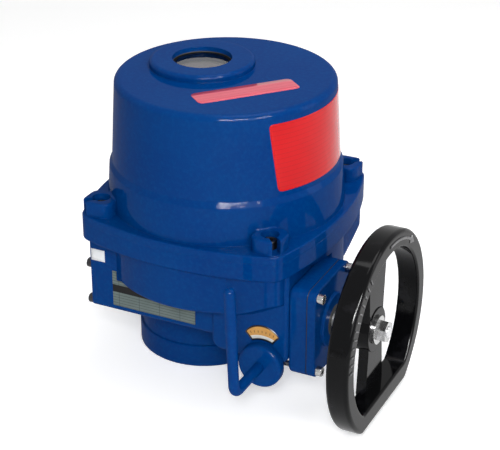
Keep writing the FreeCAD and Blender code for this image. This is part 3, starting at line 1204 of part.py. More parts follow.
def d_outline(sketch, radius, chord):
    """A circle about the origin with its lower side cut off straight."""
    half = root(radius * radius - chord * chord)
    angle = math.atan2(-chord.value, half.value)
    ring = Part.Circle(Vector(), Vector(0, 0, 1), radius.value)
    arc = sketch.addGeometry(Part.ArcOfCircle(ring, angle, math.pi - angle), False)
    line = sketch.addGeometry(Part.LineSegment(point(-half, -chord), point(half, -chord)), False)
    sketch.addConstraint(Sketcher.Constraint("Coincident", arc, 2, line, 1))
    sketch.addConstraint(Sketcher.Constraint("Coincident", line, 2, arc, 1))
    pin_point(sketch, line, 1, -half, -chord)
    pin_point(sketch, line, 2, half, -chord)
    fix_radius(sketch, arc, radius)


def window_edges(shape):
    """The edges round the openings in the flat faces that look along X."""
    found = []
    for face in shape.Faces:
        if face.BoundBox.XLength < 0.01:
            for wire in face.Wires:
                if not wire.isSame(face.OuterWire):
                    found.extend(wire.Edges)
    return found


def handwheel():
    """The D-shaped wheel: a deep rim, a waisted web across it and a hub."""
    wheel = new_body("handwheel", (0, shaft_y, s.shaft_z))
    back, front = s.rim_back_x, s.rim_back_x + s.rim_depth
    sketch = new_sketch(wheel, "YZ_Plane", back)
    d_outline(sketch, s.wheel_r, s.wheel_chord)
    rim = feature(wheel, "Pad", sketch, Length=s.rim_depth)
    corner = soften(wheel, rim, s.rim_corner, lambda e: e.BoundBox.XLength > s.rim_depth.value - 1
                    and abs(e.CenterOfMass.z + s.wheel_chord.value) < 1)
    ends = (back.value, front.value)
    rimmed = soften(wheel, corner, s.rim_round, lambda e: e.BoundBox.XLength < 0.01
                    and min(abs(e.CenterOfMass.x - x) for x in ends) < 0.01)
    window = new_sketch(wheel, "YZ_Plane", front)
    d_outline(window, s.wheel_r - s.rim_width, s.wheel_chord - s.chord_width)
    cut = feature(wheel, "Pocket", window, Length=s.rim_depth + 1)
    inner_chord, inner_r = (s.wheel_chord - s.chord_width).value, (s.wheel_r - s.rim_width).value
    corner = soften(wheel, cut, s.rim_corner, lambda e: e.BoundBox.XLength > s.rim_depth.value - 1
                    and abs(e.CenterOfMass.z + inner_chord) < 0.1 and abs(e.CenterOfMass.y) < inner_r)
    doc.recompute()
    holes = window_edges(corner.Shape)
    soften(wheel, corner, s.rim_round * 0.6, lambda e: any(e.isSame(hole) for hole in holes))

    # the web widens from the hub towards the rim, above and below
    web = new_sketch(wheel, "YZ_Plane", back)
    near, far = s.web_hub_half, s.web_rim_half
    top, low = s.wheel_r - s.rim_width / 2, s.wheel_chord - s.chord_width / 2
    outline(web, [(-far, -low), (far, -low), (near, -s.hub_r), (near, s.hub_r), (far, top), (-far, top),
                  (-near, s.hub_r), (-near, -s.hub_r)])
    feature(wheel, "Pad", web, Length=s.web_thick)
    hub = new_sketch(wheel, "YZ_Plane", s.hub_x)
    circle(hub, 0, 0, s.hub_r)
    pad = feature(wheel, "Pad", hub, Length=s.hub_length)
    hub_end = (s.hub_x + s.hub_length).value
    soften(wheel, pad, 0.8, lambda e: abs(e.BoundBox.XMin - hub_end) < 0.01)
    bore = new_sketch(wheel, "YZ_Plane", s.hub_x + s.hub_length)
    circle(bore, 0, 0, s.hub_bore_r)
    feature(wheel, "Pocket", bore, Length=s.hub_length + 1)
    node("handwheel", wheel)

    end = s.hub_x + s.hub_length
    node("wheel_washer", turned_ring("wheel_washer", end, end + s.washer_thick, s.nut_d / 2 + 0.2, s.washer_r,
                                     shaft_line, ALONG_X))
    nut = new_body("wheel_nut", shaft_line, ALONG_X)
    sketch = new_sketch(nut, "XY_Plane", end + s.washer_thick)
    hexagon(sketch, s.nut_flats)
    circle(sketch, 0, 0, s.nut_d / 2)
    feature(nut, "Pad", sketch, Length=s.nut_high)
    node("wheel_nut", nut)


def control_side():
    """The plate over the gears and what stands on it, and the shaft that shows the position."""
    top = s.plate_z + s.plate_thick
    plate = new_body("control_plate", on_cover)
    sketch = new_sketch(plate, "XY_Plane", s.plate_z)
    circle(sketch, 0, 0, plate_r)
    feature(plate, "Pad", sketch, Length=s.plate_thick)
    opening = new_sketch(plate, "XY_Plane", top)
    gap = 4
    half_y = s.motor_r + gap + 3
    low_y, high_y = idler_y - half_y - s.cover_y, idler_y + half_y - s.cover_y
    low_x, high_x = s.bracket_x - gap - s.cover_x, s.train_x + s.train_width + gap - s.cover_x
    outline(opening, [(low_x, low_y), (high_x, low_y), (high_x, high_y), (low_x, high_y)])
    circle(opening, -s.cover_x, -s.cover_y, s.indicator_r + 4)
    # the cables come up through a notch behind each entry
    notch_y = plate_r - s.notch_depth
    for side in (-1, 1):
        x0, x1 = side * s.entry_spread - s.notch_half, side * s.entry_spread + s.notch_half
        outline(opening, [(x0, notch_y), (x1, notch_y), (x1, plate_r + 1), (x0, plate_r + 1)])
    angles = (20, 90, 215, 290)
    pillar_places = [(pillar_ring_r * cosine(a), pillar_ring_r * sine(a)) for a in angles]
    for x, y in pillar_places:
        circle(opening, x, y, 2.2)
    feature(plate, "Pocket", opening, Length=s.plate_thick + 1)
    node("control_plate", plate)
    pillar_places = [(s.cover_x + x, s.cover_y + y) for x, y in pillar_places]
    pillars = [turned_ring("pillar", s.tub_floor_z, s.plate_z, 2.1, s.pillar_r, (x, y, 0))
               for x, y in pillar_places]
    node("plate_pillars", group("plate_pillars", pillars))
    screws = [socket_screw("plate_screw", 4, 12, (x, y, top), UP) for x, y in pillar_places]
    node("plate_screws", group("plate_screws", screws))

    shaft_low = s.sleeve_top_z - 20
    node("indicator_shaft", turned("indicator_shaft", [
        (shaft_low, 0), (shaft_low, s.indicator_r), (dial_z, s.indicator_r), (dial_z, 0)]))
    cams = []
    for i in range(3):
        low = cam_z + s.cam_step * i
        cam = new_body("limit_cam")
        sketch = new_sketch(cam, "XY_Plane", low)
        circle(sketch, 0, 0, s.cam_r - 2.5)
        feature(cam, "Pad", sketch, Length=s.cam_thick)
        lobe = new_sketch(cam, "XY_Plane", low)
        angle = 200 + 60 * i
        circle(lobe, 4 * math.cos(math.radians(angle)), 4 * math.sin(math.radians(angle)), s.cam_r - 4)
        feature(cam, "Pad", lobe, Length=s.cam_thick)
        hole = new_sketch(cam, "XY_Plane", low + s.cam_thick)
        circle(hole, 0, 0, s.indicator_r)
        feature(cam, "Pocket", hole, Length=s.cam_thick + 1)
        cams.append(cam)
    node("limit_cams", group("limit_cams", cams))
    hub_r, dial_top = s.indicator_r + 4, dial_z + s.dial_thick
    node("indicator_dial", turned("indicator_dial", [
        (dial_z - 5, s.indicator_r), (dial_z - 5, hub_r), (dial_z, hub_r), (dial_z, s.dial_r),
        (dial_top, s.dial_r), (dial_top, 0), (dial_z, 0), (dial_z, s.indicator_r)]))

    # a post carries one switch beside each cam
    post_y = s.cam_r + 16
    post = new_body("switch_post")
    sketch = new_sketch(post, "XY_Plane", top)
    outline(sketch, [(-14, post_y), (14, post_y), (14, post_y + 3), (-14, post_y + 3)])
    feature(post, "Pad", sketch, Length=cam_z + 3 * s.cam_step - top)
    foot = new_sketch(post, "XY_Plane", top)
    outline(foot, [(-14, post_y), (14, post_y), (14, post_y + 11), (-14, post_y + 11)])
    feature(post, "Pad", foot, Length=3)
    node("switch_post", post)
    switches = []
    for i in range(3):
        low = cam_z + s.cam_step * i
        case = block("switch_case", (-13, post_y - 11, low + 0.5), (13, post_y, low + s.cam_thick - 0.5))
        arm = block("switch_arm", (-11, post_y - 13.5, low + 2), (9, post_y - 11, low + s.cam_thick - 2))
        switches.append(join("limit_switch", [case, arm]))
    node("limit_switches", group("limit_switches", switches))

    # terminals with a barrier between each pair
    x0, y0 = s.cover_x + 8, s.cover_y + plate_r - s.terminal_inset
    base = block("terminal_base", (x0 - s.terminal_length / 2, y0, top),
                 (x0 + s.terminal_length / 2, y0 + s.terminal_depth, top + s.terminal_high * 0.6))
    walls = []
    wall = s.terminal_wall
    for i in range(int(s.terminal_count.value) + 1):
        x = x0 - s.terminal_length / 2 + (s.terminal_length - wall) * i / s.terminal_count
        walls.append(block("terminal_wall", (x, y0 + 2, top),
                           (x + wall, y0 + s.terminal_depth - 2, top + s.terminal_high)))
    node("terminal_block", join("terminal_block", [base] + walls))

    across = (s.cover_x + plate_r - s.capacitor_inset, s.cover_y + 30, top + s.capacitor_r)
    node("capacitor", turned("capacitor", [
        (-s.capacitor_length / 2, 0), (-s.capacitor_length / 2, s.capacitor_r - 1),
        (1 - s.capacitor_length / 2, s.capacitor_r), (s.capacitor_length / 2, s.capacitor_r),
        (s.capacitor_length / 2, 0)], across, ALONG_Y))
    heater_x = s.cover_x - plate_r + s.heater_inset
    heater_end = heater_x + s.heater_length
    heater = [block("heater_base", (heater_x, 8, top), (heater_end, 40, top + 3))]
    for i in range(4):
        heater.append(block("heater_fin", (heater_x, 10 + 8 * i, top), (heater_end, 13 + 8 * i, top + 14)))
    node("heater", join("heater", heater))


def front_plate():
    """The thin plate on the front of the shaft box, below the bowl, with a tab up beside the bowl."""
    plate = new_body("nameplate")
    sketch = new_sketch(plate, "XZ_Plane", -s.box_front_y)
    left, right, tab_right = s.plate_left_x, s.plate_right_x, s.plate_left_x + s.plate_tab_width
    outline(sketch, [(left, s.plate_low_z), (right, s.plate_low_z), (right, s.plate_high_z),
                     (tab_right, s.plate_high_z), (tab_right, s.plate_tab_z), (left, s.plate_tab_z)])
    feature(plate, "Pad", sketch, Length=s.name_thick)
    node("nameplate", plate)


top_cover()
sight_glass()
cover_fasteners()
lower_housing()
end_cover()
for bearing_label, bearing_x in (("left_bearing", s.left_bearing_x), ("mid_bearing", s.mid_bearing_x),
                                 ("hand_bearing", s.hand_bearing_x)):
    ball_bearing(bearing_label, bearing_x)
worm_shaft()
worm_wheel()
output_parts()
gear_train()
motor_parts()
clutch_collar()
hand_shaft()
lever_parts()
hand_case()
handwheel()
control_side()
front_plate()
doc.recompute()

for thing in doc.Objects:
    if "Invalid" in thing.State or "Error" in thing.State:
        raise RuntimeError("%s is not valid: %s" % (thing.Name, thing.State))
for label, thing in nodes:
    if thing.Shape.isNull() or not thing.Shape.isValid():
        raise RuntimeError(label + " has no valid shape")

os.makedirs("parts", exist_ok=True)
for label, thing in nodes:
    thing.Shape.exportStep("parts/%s.step" % label)
print(len(nodes), "nodes")
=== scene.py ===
import json
import math
import bpy
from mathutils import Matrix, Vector
from mathutils.bvhtree import BVHTree


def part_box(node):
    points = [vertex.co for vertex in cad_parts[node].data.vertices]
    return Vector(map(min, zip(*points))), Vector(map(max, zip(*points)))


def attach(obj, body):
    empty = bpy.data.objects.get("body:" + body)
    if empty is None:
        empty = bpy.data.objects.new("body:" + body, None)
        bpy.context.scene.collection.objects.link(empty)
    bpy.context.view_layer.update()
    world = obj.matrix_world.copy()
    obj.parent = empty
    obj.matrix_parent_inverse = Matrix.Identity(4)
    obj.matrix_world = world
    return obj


# The looks of the electric valve actuator: finishes for every piece, the stickers and the raised marks.
# All lengths are in metres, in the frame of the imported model.

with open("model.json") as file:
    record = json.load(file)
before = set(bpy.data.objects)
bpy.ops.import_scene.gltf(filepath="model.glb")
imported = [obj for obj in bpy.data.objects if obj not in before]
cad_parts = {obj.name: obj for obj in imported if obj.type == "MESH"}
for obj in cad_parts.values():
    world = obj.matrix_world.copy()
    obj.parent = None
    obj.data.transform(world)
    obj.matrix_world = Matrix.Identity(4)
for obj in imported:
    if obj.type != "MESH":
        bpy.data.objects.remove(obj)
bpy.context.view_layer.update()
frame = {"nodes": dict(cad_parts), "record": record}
record = frame["record"]
nodes = frame["nodes"]

# Camera, fitted to the photograph
CAMERA_PLACE = Vector((0.6604, -1.2557, 0.8390))
CAMERA_AZIMUTH = math.radians(25.88)
CAMERA_ELEVATION = math.radians(26.68)
CAMERA_LENS = 112.5
SENSOR_WIDTH = 36

# Light: the floor's own glow, the world's light on the object, and what the lamps point at
FLOOR_GLOW = 0.45
WORLD_LIGHT = 0.32
LAMP_AIM = (0.05, -0.03, 0.15)

# Labels: the film's thickness, and the gap that keeps it clear of what it lies on
STICKER_THICK = 0.00018
STICKER_LIFT = 0.00004

# Nameplate: a ruled grid and a dark heading band
PLATE_ROW_START = 0.0745
PLATE_ROW = 0.0030
PLATE_COLUMN_START = -0.042
PLATE_COLUMN = 0.0225
PLATE_LINE = 0.00026
PLATE_HEAD_LOW = 0.0895
PLATE_HEAD_HIGH = 0.0975

# Window: the clear part of the glass, and the dial's hub, black ring and ticks, which lie on the output axis
GLASS_CLEAR_R = 0.0262
DIAL_HUB_R = 0.0062
DIAL_RING_R = 0.0205
DIAL_TICK_OUT_R = 0.0245

# Red labels: half the width of a ruled line, its strength, and the two tones of each label
RULE_HALF = 0.00024
RULE_DEPTH = 0.35
SIDE_RED = ((0.52, 0.004, 0.007), (0.60, 0.007, 0.010))
TOP_RED = ((0.56, 0.08, 0.115), (0.64, 0.10, 0.145))
DOME_TOP_Z = 0.3005
cover_low, cover_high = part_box("top_cover")
cover_centre = (cover_low + cover_high) / 2

# The crescent, round the lever's hub, on a face that lies a little behind the hub
SHIFT_IN_R = 0.0243
SHIFT_OUT_R = 0.0405
SHIFT_DROP = 0.0055
SHIFT_MIDDLE = math.radians(92)
SHIFT_HALF_IN = math.radians(26.5)
SHIFT_HALF_OUT = math.radians(33)
SHIFT_BORDER = 0.0018
SHIFT_STRIP_R = 0.0295
SHIFT_TICK_LOW = 0.0320
SHIFT_TICK_HIGH = 0.0345
CRESCENT_BACK = 0.001
lever_low, lever_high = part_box("lever_hub")
lever_centre = (lever_low + lever_high) / 2

# The handwheel's axis and the face of its rim, with marks that stand out and are sunk a little
WHEEL_Y, WHEEL_Z = -0.062, 0.0915
RIM_FACE_X = 0.225
RIM_MIDDLE_R = 0.09025
RELIEF = 0.0009
SUNK = 0.0003


# Finishes


class Finish:
    """A procedural material, with short calls for the nodes that the finishes share."""

    def __init__(self, name, sockets):
        self.material = bpy.data.materials.new(name)
        self.material.use_nodes = True
        self.nodes = self.material.node_tree.nodes
        self.links = self.material.node_tree.links
        self.surface = self.nodes["Principled BSDF"]
        self.place = self.nodes.new("ShaderNodeTexCoord").outputs["Object"]
        for socket, value in sockets.items():
            self.surface.inputs[socket].default_value = value

    def give(self, socket, output):
        self.links.new(output, self.surface.inputs[socket])

    def noise(self, scale, detail=3.0, rough=0.5):
        node = self.nodes.new("ShaderNodeTexNoise")
        node.inputs["Scale"].default_value = scale
        node.inputs["Detail"].default_value = detail
        node.inputs["Roughness"].default_value = rough
        self.links.new(self.place, node.inputs["Vector"])
        return node.outputs["Fac"]

    def ranged(self, source, low, high, to_low, to_high):
        """The source's range from low to high, moved to another range."""
        node = self.nodes.new("ShaderNodeMapRange")
        self.links.new(source, node.inputs["Value"])
        limits = {"From Min": low, "From Max": high, "To Min": to_low, "To Max": to_high}
        for socket, value in limits.items():
            node.inputs[socket].default_value = value
        return node.outputs["Result"]

    def mixed(self, factor, first, second):
        """A colour between two, each an RGB value or another node's output."""
        node = self.nodes.new("ShaderNodeMix")
        node.data_type = "RGBA"
        self.links.new(factor, node.inputs["Factor"])
        for socket, colour in ((node.inputs[6], first), (node.inputs[7], second)):
            if isinstance(colour, tuple):
                socket.default_value = (*colour, 1)
            else:
                self.links.new(colour, socket)
        return node.outputs[2]

    def maths(self, kind, first, second=None):
        """One step of arithmetic on numbers or other nodes' outputs."""
        node = self.nodes.new("ShaderNodeMath")
        node.operation = kind
        for socket, value in zip(node.inputs, (first, second)):
            if isinstance(value, (int, float)):
                socket.default_value = value
            elif value is not None:
                self.links.new(value, socket)
        return node.outputs["Value"]

    def parts_of_place(self):
        node = self.nodes.new("ShaderNodeSeparateXYZ")
        self.links.new(self.place, node.inputs["Vector"])
        return node.outputs

    def distance(self, first, second):
        """How far a point lies from an axis, from its two coordinates across it."""
        squares = (self.maths("MULTIPLY", first, first), self.maths("MULTIPLY", second, second))
        return self.maths("SQRT", self.maths("ADD", *squares))

    def bump(self, height, strength, distance, edge_round=0.0):
        self.give("Normal", self.relief(height, strength, distance, edge_round))

    def relief(self, height, strength, distance, edge_round=0.0):
        """Relief in the normal, over edges that look rounded by edge_round."""
        node = self.nodes.new("ShaderNodeBump")
        node.inputs["Strength"].default_value = strength
        node.inputs["Distance"].default_value = distance
        self.links.new(height, node.inputs["Height"])
        if edge_round:
            bevel = self.nodes.new("ShaderNodeBevel")
            bevel.samples = 4
            bevel.inputs["Radius"].default_value = edge_round
            self.links.new(bevel.outputs["Normal"], node.inputs["Normal"])
        return node.outputs["Normal"]

    def band(self, value, low, high):
        """1 where the value lies from low to high, else 0."""
        above = self.maths("GREATER_THAN", value, low)
        below = self.maths("LESS_THAN", value, high)
        return self.maths("MULTIPLY", above, below)


def blue_enamel():
    """Glossy blue enamel over a casting: fine orange peel and a mottled depth of colour."""
    finish = Finish("blue_enamel", {"Specular IOR Level": 0.0, "Coat Weight": 0.13,
                                    "Coat Roughness": 0.05, "Coat IOR": 1.4})
    tone = finish.mixed(finish.noise(11, 3), (0.0002, 0.024, 0.150), (0.0002, 0.046, 0.200))
    mottle = finish.ranged(finish.noise(260, 3), 0.45, 0.75, 0, 0.35)
    finish.give("Base Color", finish.mixed(mottle, tone, (0.0003, 0.064, 0.235)))
    finish.give("Roughness", finish.ranged(finish.noise(45, 5), 0.3, 0.7, 0.4, 0.55))
    finish.give("Coat Normal", finish.relief(finish.noise(330, 2), 0.07, 0.0004, 0.0016))
    finish.bump(finish.noise(260, 2), 0.3, 0.0006, 0.0009)
    return finish.material


def black_enamel():
    """Black enamel over cast iron, a little rubbed where hands hold the wheel."""
    finish = Finish("black_enamel", {"Specular IOR Level": 0.0, "Coat Weight": 0.6, "Coat Roughness": 0.08,
                                     "Coat IOR": 1.25})
    rubbed = finish.ranged(finish.noise(38, 6, 0.65), 0.56, 0.72, 0, 1)
    finish.give("Base Color", finish.mixed(rubbed, (0.0022, 0.0023, 0.0028), (0.010, 0.010, 0.012)))
    finish.give("Roughness", finish.ranged(finish.noise(70, 4), 0.3, 0.7, 0.2, 0.34))
    finish.bump(finish.noise(260, 3), 0.25, 0.0005, 0.0008)
    return finish.material


def worn_enamel():
    """Black paint on the raised marks, polished grey by hands."""
    finish = Finish("worn_enamel", {"Specular IOR Level": 0.3})
    tone = finish.mixed(finish.noise(160, 5, 0.6), (0.02, 0.02, 0.022), (0.085, 0.085, 0.09))
    finish.give("Base Color", tone)
    finish.give("Roughness", finish.ranged(finish.noise(120, 3), 0.3, 0.7, 0.25, 0.4))
    finish.bump(finish.noise(400, 3), 0.2, 0.0003)
    return finish.material


def metal(name, colour, dark, rough, grain, edge_round=0.0004):
    """Bare or plated metal: a stained tone, uneven roughness and fine machining grain."""
    finish = Finish(name, {"Metallic": 1.0})
    finish.give("Base Color", finish.mixed(finish.noise(60, 5, 0.6), dark, colour))
    finish.give("Roughness", finish.ranged(finish.noise(180, 4), 0.3, 0.7, rough[0], rough[1]))
    finish.bump(finish.noise(grain, 2, 0.5), 0.18, 0.0003, edge_round)
    return finish.material


def zinc_plate():
    return metal("zinc_plate", (0.56, 0.56, 0.55), (0.16, 0.16, 0.17), (0.16, 0.30), 700)


def black_oxide():
    return metal("black_oxide", (0.055, 0.055, 0.06), (0.03, 0.03, 0.032), (0.28, 0.45), 800)


def ground_steel():
    return metal("ground_steel", (0.62, 0.62, 0.63), (0.45, 0.45, 0.47), (0.2, 0.36), 900)


def bronze():
    return metal("bronze", (0.72, 0.48, 0.20), (0.50, 0.31, 0.12), (0.25, 0.42), 800)


def bare_casting():
    return metal("bare_casting", (0.66, 0.66, 0.67), (0.48, 0.48, 0.50), (0.4, 0.6), 380)


def moulded(name, colour, dark, rough, grain=500, strength=0.2):
    """Moulded rubber or plastic with a fine grain."""
    finish = Finish(name, {"Specular IOR Level": 0.4})
    finish.give("Base Color", finish.mixed(finish.noise(35, 4), dark, colour))
    finish.give("Roughness", finish.ranged(finish.noise(120, 4), 0.3, 0.7, rough - 0.08, rough + 0.08))
    finish.bump(finish.noise(grain, 3), strength, 0.0003, 0.0003)
    return finish.material


def rubber():
    return moulded("rubber", (0.022, 0.022, 0.022), (0.012, 0.012, 0.012), 0.65, 700, 0.3)


def black_plastic():
    return moulded("black_plastic", (0.03, 0.03, 0.032), (0.018, 0.018, 0.02), 0.4)


def pale_plastic():
    return moulded("pale_plastic", (0.72, 0.69, 0.58), (0.60, 0.57, 0.47), 0.42)


def sight_glass():
    """Smoke-tinted glass with faint smears, and a black border round its clear middle."""
    finish = Finish("sight_glass", {"IOR": 1.45})
    x, y, _ = finish.parts_of_place()
    radius = finish.distance(x, y)
    clear = finish.maths("LESS_THAN", radius, GLASS_CLEAR_R)
    tint = finish.mixed(finish.noise(60, 4), (0.40, 0.40, 0.42), (0.48, 0.48, 0.50))
    # Outside the clear middle the glass is black.
    finish.give("Base Color", finish.mixed(clear, (0.004, 0.004, 0.004), tint))
    finish.give("Transmission Weight", clear)
    finish.give("Specular IOR Level", finish.ranged(clear, 0, 1, 0.05, 0.5))
    smears = finish.ranged(finish.noise(90, 5, 0.7), 0.5, 0.8, 0.0, 0.05)
    # The black border round the clear middle is rough.
    border_rough = finish.ranged(clear, 0, 1, 0.5, 0.0)
    finish.give("Roughness", finish.maths("ADD", smears, border_rough))
    return finish.material


def name_plate():
    """Printed aluminium: pale ruled rows and columns, and a dark heading band, with nothing written."""
    finish = Finish("printed_plate", {"Metallic": 0.2, "Specular IOR Level": 0.2})
    x, _, z = finish.parts_of_place()
    ground = finish.mixed(finish.noise(50, 4), (0.085, 0.115, 0.11), (0.15, 0.185, 0.175))
    row = finish.maths("PINGPONG", finish.maths("ADD", z, -PLATE_ROW_START), PLATE_ROW / 2)
    lines = finish.maths("LESS_THAN", row, PLATE_LINE)
    column = finish.maths("PINGPONG", finish.maths("ADD", x, -PLATE_COLUMN_START), PLATE_COLUMN / 2)
    lines = finish.maths("MAXIMUM", lines, finish.maths("LESS_THAN", column, PLATE_LINE))
    ruled = finish.mixed(finish.maths("MULTIPLY", lines, 0.8), ground, (0.03, 0.045, 0.05))
    head = finish.band(z, PLATE_HEAD_LOW, PLATE_HEAD_HIGH)
    finish.give("Base Color", finish.mixed(head, ruled, (0.003, 0.003, 0.004)))
    finish.give("Roughness", finish.ranged(finish.noise(150, 3), 0.3, 0.7, 0.3, 0.42))
    finish.bump(finish.noise(900, 2), 0.1, 0.0002)
    return finish.material


def dial_print():
    """The position dial: a pinkish grey disc with a hub, and plain ticks on a black ring."""
    finish = Finish("dial_print", {"Specular IOR Level": 0.4})
    x, y, _ = finish.parts_of_place()
    angle = finish.maths("ARCTAN2", y, x)
    radius = finish.distance(x, y)
    ground = finish.mixed(finish.noise(60, 4), (0.15, 0.12, 0.125), (0.24, 0.20, 0.205))
    tick = finish.maths("PINGPONG", angle, math.radians(5))
    ticks = finish.maths("MULTIPLY", finish.maths("LESS_THAN", tick, 0.012),
                         finish.band(radius, DIAL_RING_R, DIAL_TICK_OUT_R))
    ringed = finish.mixed(finish.maths("GREATER_THAN", radius, DIAL_RING_R), ground, (0.006, 0.006, 0.007))
    marked = finish.mixed(ticks, ringed, (0.10, 0.10, 0.10))
    hub = finish.maths("LESS_THAN", radius, DIAL_HUB_R)
    finish.give("Base Color", finish.mixed(hub, marked, (0.10, 0.10, 0.11)))
    finish.give("Roughness", finish.ranged(finish.noise(150, 3), 0.3, 0.7, 0.35, 0.5))
    finish.bump(finish.noise(700, 2), 0.1, 0.0002)
    return finish.material


def red_label(name, across, start, step, colours):
    """Bare red label film with faint ruled lines, stepped along the direction across."""
    finish = Finish(name, {"Specular IOR Level": 0.0, "Coat Weight": 1.0, "Coat Roughness": 0.10,
                           "Coat IOR": 1.25})
    along = finish.nodes.new("ShaderNodeVectorMath")
    along.operation = "DOT_PRODUCT"
    along.inputs[1].default_value = across
    finish.links.new(finish.place, along.inputs[0])
    row = finish.maths("PINGPONG", finish.maths("ADD", along.outputs["Value"], -start), step / 2)
    line = finish.maths("MULTIPLY", finish.maths("LESS_THAN", row, RULE_HALF), RULE_DEPTH)
    ground = finish.mixed(finish.noise(40, 4), colours[0], colours[1])
    finish.give("Base Color", finish.mixed(line, ground, (0.22, 0.006, 0.010)))
    finish.give("Roughness", finish.ranged(finish.noise(90, 3), 0.3, 0.7, 0.16, 0.24))
    finish.bump(finish.noise(60, 2), 0.05, 0.0004)
    return finish.material


def white_label():
    """Bare white film with a faint grain."""
    finish = Finish("white_label", {"Specular IOR Level": 0.5})
    finish.give("Base Color", finish.mixed(finish.noise(90, 4), (0.74, 0.76, 0.78), (0.84, 0.85, 0.86)))
    finish.give("Roughness", finish.ranged(finish.noise(140, 3), 0.3, 0.7, 0.3, 0.4))
    finish.bump(finish.noise(500, 2), 0.1, 0.0002)
    return finish.material


def shift_label():
    """The crescent over the lever: a black border, a yellow field with ticks, and a pale strip."""
    finish = Finish("shift_label", {"Specular IOR Level": 0.3})
    x, _, z = finish.parts_of_place()
    across = finish.maths("ADD", x, -lever_centre.x)
    up = finish.maths("ADD", z, -lever_centre.z)
    radius = finish.distance(across, up)
    turned = finish.maths("ADD", finish.maths("ARCTAN2", up, across), -SHIFT_MIDDLE)
    aside = finish.maths("ABSOLUTE", turned)
    yellow = finish.mixed(finish.noise(150, 4), (0.46, 0.22, 0.045), (0.60, 0.32, 0.08))
    field = finish.mixed(finish.maths("LESS_THAN", radius, SHIFT_STRIP_R), yellow, (0.66, 0.66, 0.62))
    tick = finish.maths("PINGPONG", turned, math.radians(3.5))
    ticks = finish.maths("MULTIPLY", finish.maths("LESS_THAN", tick, 0.012),
                         finish.band(radius, SHIFT_TICK_LOW, SHIFT_TICK_HIGH))
    field = finish.mixed(finish.maths("MULTIPLY", ticks, 0.8), field, (0.08, 0.04, 0.01))
    share = finish.maths("DIVIDE", aside, SHIFT_HALF_OUT)
    drop = finish.maths("MULTIPLY", finish.maths("MULTIPLY", share, share), SHIFT_DROP)
    below = finish.maths("LESS_THAN", finish.maths("ADD", radius, drop), SHIFT_OUT_R - SHIFT_BORDER)
    above = finish.maths("GREATER_THAN", radius, SHIFT_IN_R + SHIFT_BORDER)
    end = finish.ranged(radius, SHIFT_IN_R, SHIFT_OUT_R, SHIFT_HALF_IN, SHIFT_HALF_OUT)
    border_angle = finish.maths("DIVIDE", SHIFT_BORDER, radius)
    between = finish.maths("LESS_THAN", finish.maths("ADD", aside, border_angle), end)
    inside = finish.maths("MULTIPLY", finish.maths("MULTIPLY", below, above), between)
    finish.give("Base Color", finish.mixed(inside, (0.003, 0.003, 0.004), field))
    finish.give("Roughness", finish.ranged(finish.noise(140, 3), 0.3, 0.7, 0.3, 0.42))
    finish.bump(finish.noise(500, 2), 0.1, 0.0002)
    return finish.material


FINISHES = {
    "blue_paint": blue_enamel, "black_paint": black_enamel, "zinc_screw": zinc_plate,
    "black_screw": black_oxide, "steel": ground_steel, "bronze": bronze, "cast_metal": bare_casting,
    "plate_metal": name_plate, "glass": sight_glass, "rubber": rubber, "black_plastic": black_plastic,
    "pale_plastic": pale_plastic, "dial_face": dial_print,
}

# The ring under the glass shows black in the photograph, through the glass.
OTHER_FINISHES = {"glass_retainer": "black_screw"}


def dress_nodes():
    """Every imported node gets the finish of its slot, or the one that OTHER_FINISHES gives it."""
    made = {slot: make() for slot, make in FINISHES.items()}
    for part in record["subparts"]:
        slot = OTHER_FINISHES.get(part["node"], part["material_slot"])
        piece = nodes[part["node"]]
        piece.data.materials.clear()
        piece.data.materials.append(made[slot])


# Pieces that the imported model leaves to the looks


def new_piece(name, points, faces, material, body):
    """A mesh with its material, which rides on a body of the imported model."""
    mesh = bpy.data.meshes.new(name)
    mesh.from_pydata([tuple(p) for p in points], [], faces)
    mesh.update()
    piece = bpy.data.objects.new(name, mesh)
    bpy.context.scene.collection.objects.link(piece)
    mesh.materials.append(material)
    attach(piece, body)
    return piece


def thicken(piece, thick):
    """Gives a sheet its thickness, away from what it lies on."""
    solid = piece.modifiers.new("thickness", "SOLIDIFY")
    solid.thickness = thick
    solid.offset = 1
    return piece


def film(name, rows, material, body):
    """A thin label from rows of points that already lie on the surface."""
    across = len(rows[0])
    points = [point for row in rows for point in row]
    faces = []
    for j in range(len(rows) - 1):
        for i in range(across - 1):
            corner = j * across + i
            faces.append((corner, corner + 1, corner + across + 1, corner + across))
    piece = new_piece(name, points, faces, material, body)
    for polygon in piece.data.polygons:
        polygon.use_smooth = True
    return thicken(piece, STICKER_THICK)


def round_corner_cut(distance, radius):
    """How far a rounded corner pulls an edge in, at a distance from the other edge."""
    if distance >= radius:
        return 0.0
    return radius - math.sqrt(max(0.0, radius ** 2 - (radius - distance) ** 2))


def dome_label():
    """The red label on the dome's side, laid on the real surface."""
    tree = BVHTree.FromObject(nodes["top_cover"], bpy.context.evaluated_depsgraph_get())
    low, high, corner = 0.2228, 0.2893, 0.004
    start_low, start_high = math.radians(-37.9), math.radians(-42.3)
    end, radius = math.radians(36), 0.109
    outside = 0.2
    rows = []
    steps_up, steps_round = 16, 48
    # closer rows at the ends, for the round corners
    heights = [0, 0.012, 0.03] + [k / steps_up for k in range(1, steps_up)] + [0.97, 0.988, 1]
    for share in heights:
        z = low + (high - low) * share
        near = min(z - low, high - z)
        cut = round_corner_cut(near, corner) / radius
        start = start_low + (start_high - start_low) * share
        row = []
        for k in range(steps_round + 1):
            angle = start + cut + (end - start - 2 * cut) * k / steps_round
            out = Vector((math.cos(angle), math.sin(angle), 0))
            origin = Vector((cover_centre.x, cover_centre.y, z)) + out * outside
            hit, normal, _, _ = tree.ray_cast(origin, -out)
            row.append(hit + normal * STICKER_LIFT)
        rows.append(row)
    red = red_label("red_label_side", (0, 0, 1), low, 0.0046, SIDE_RED)
    return film("dome_label", rows, red, "housing")


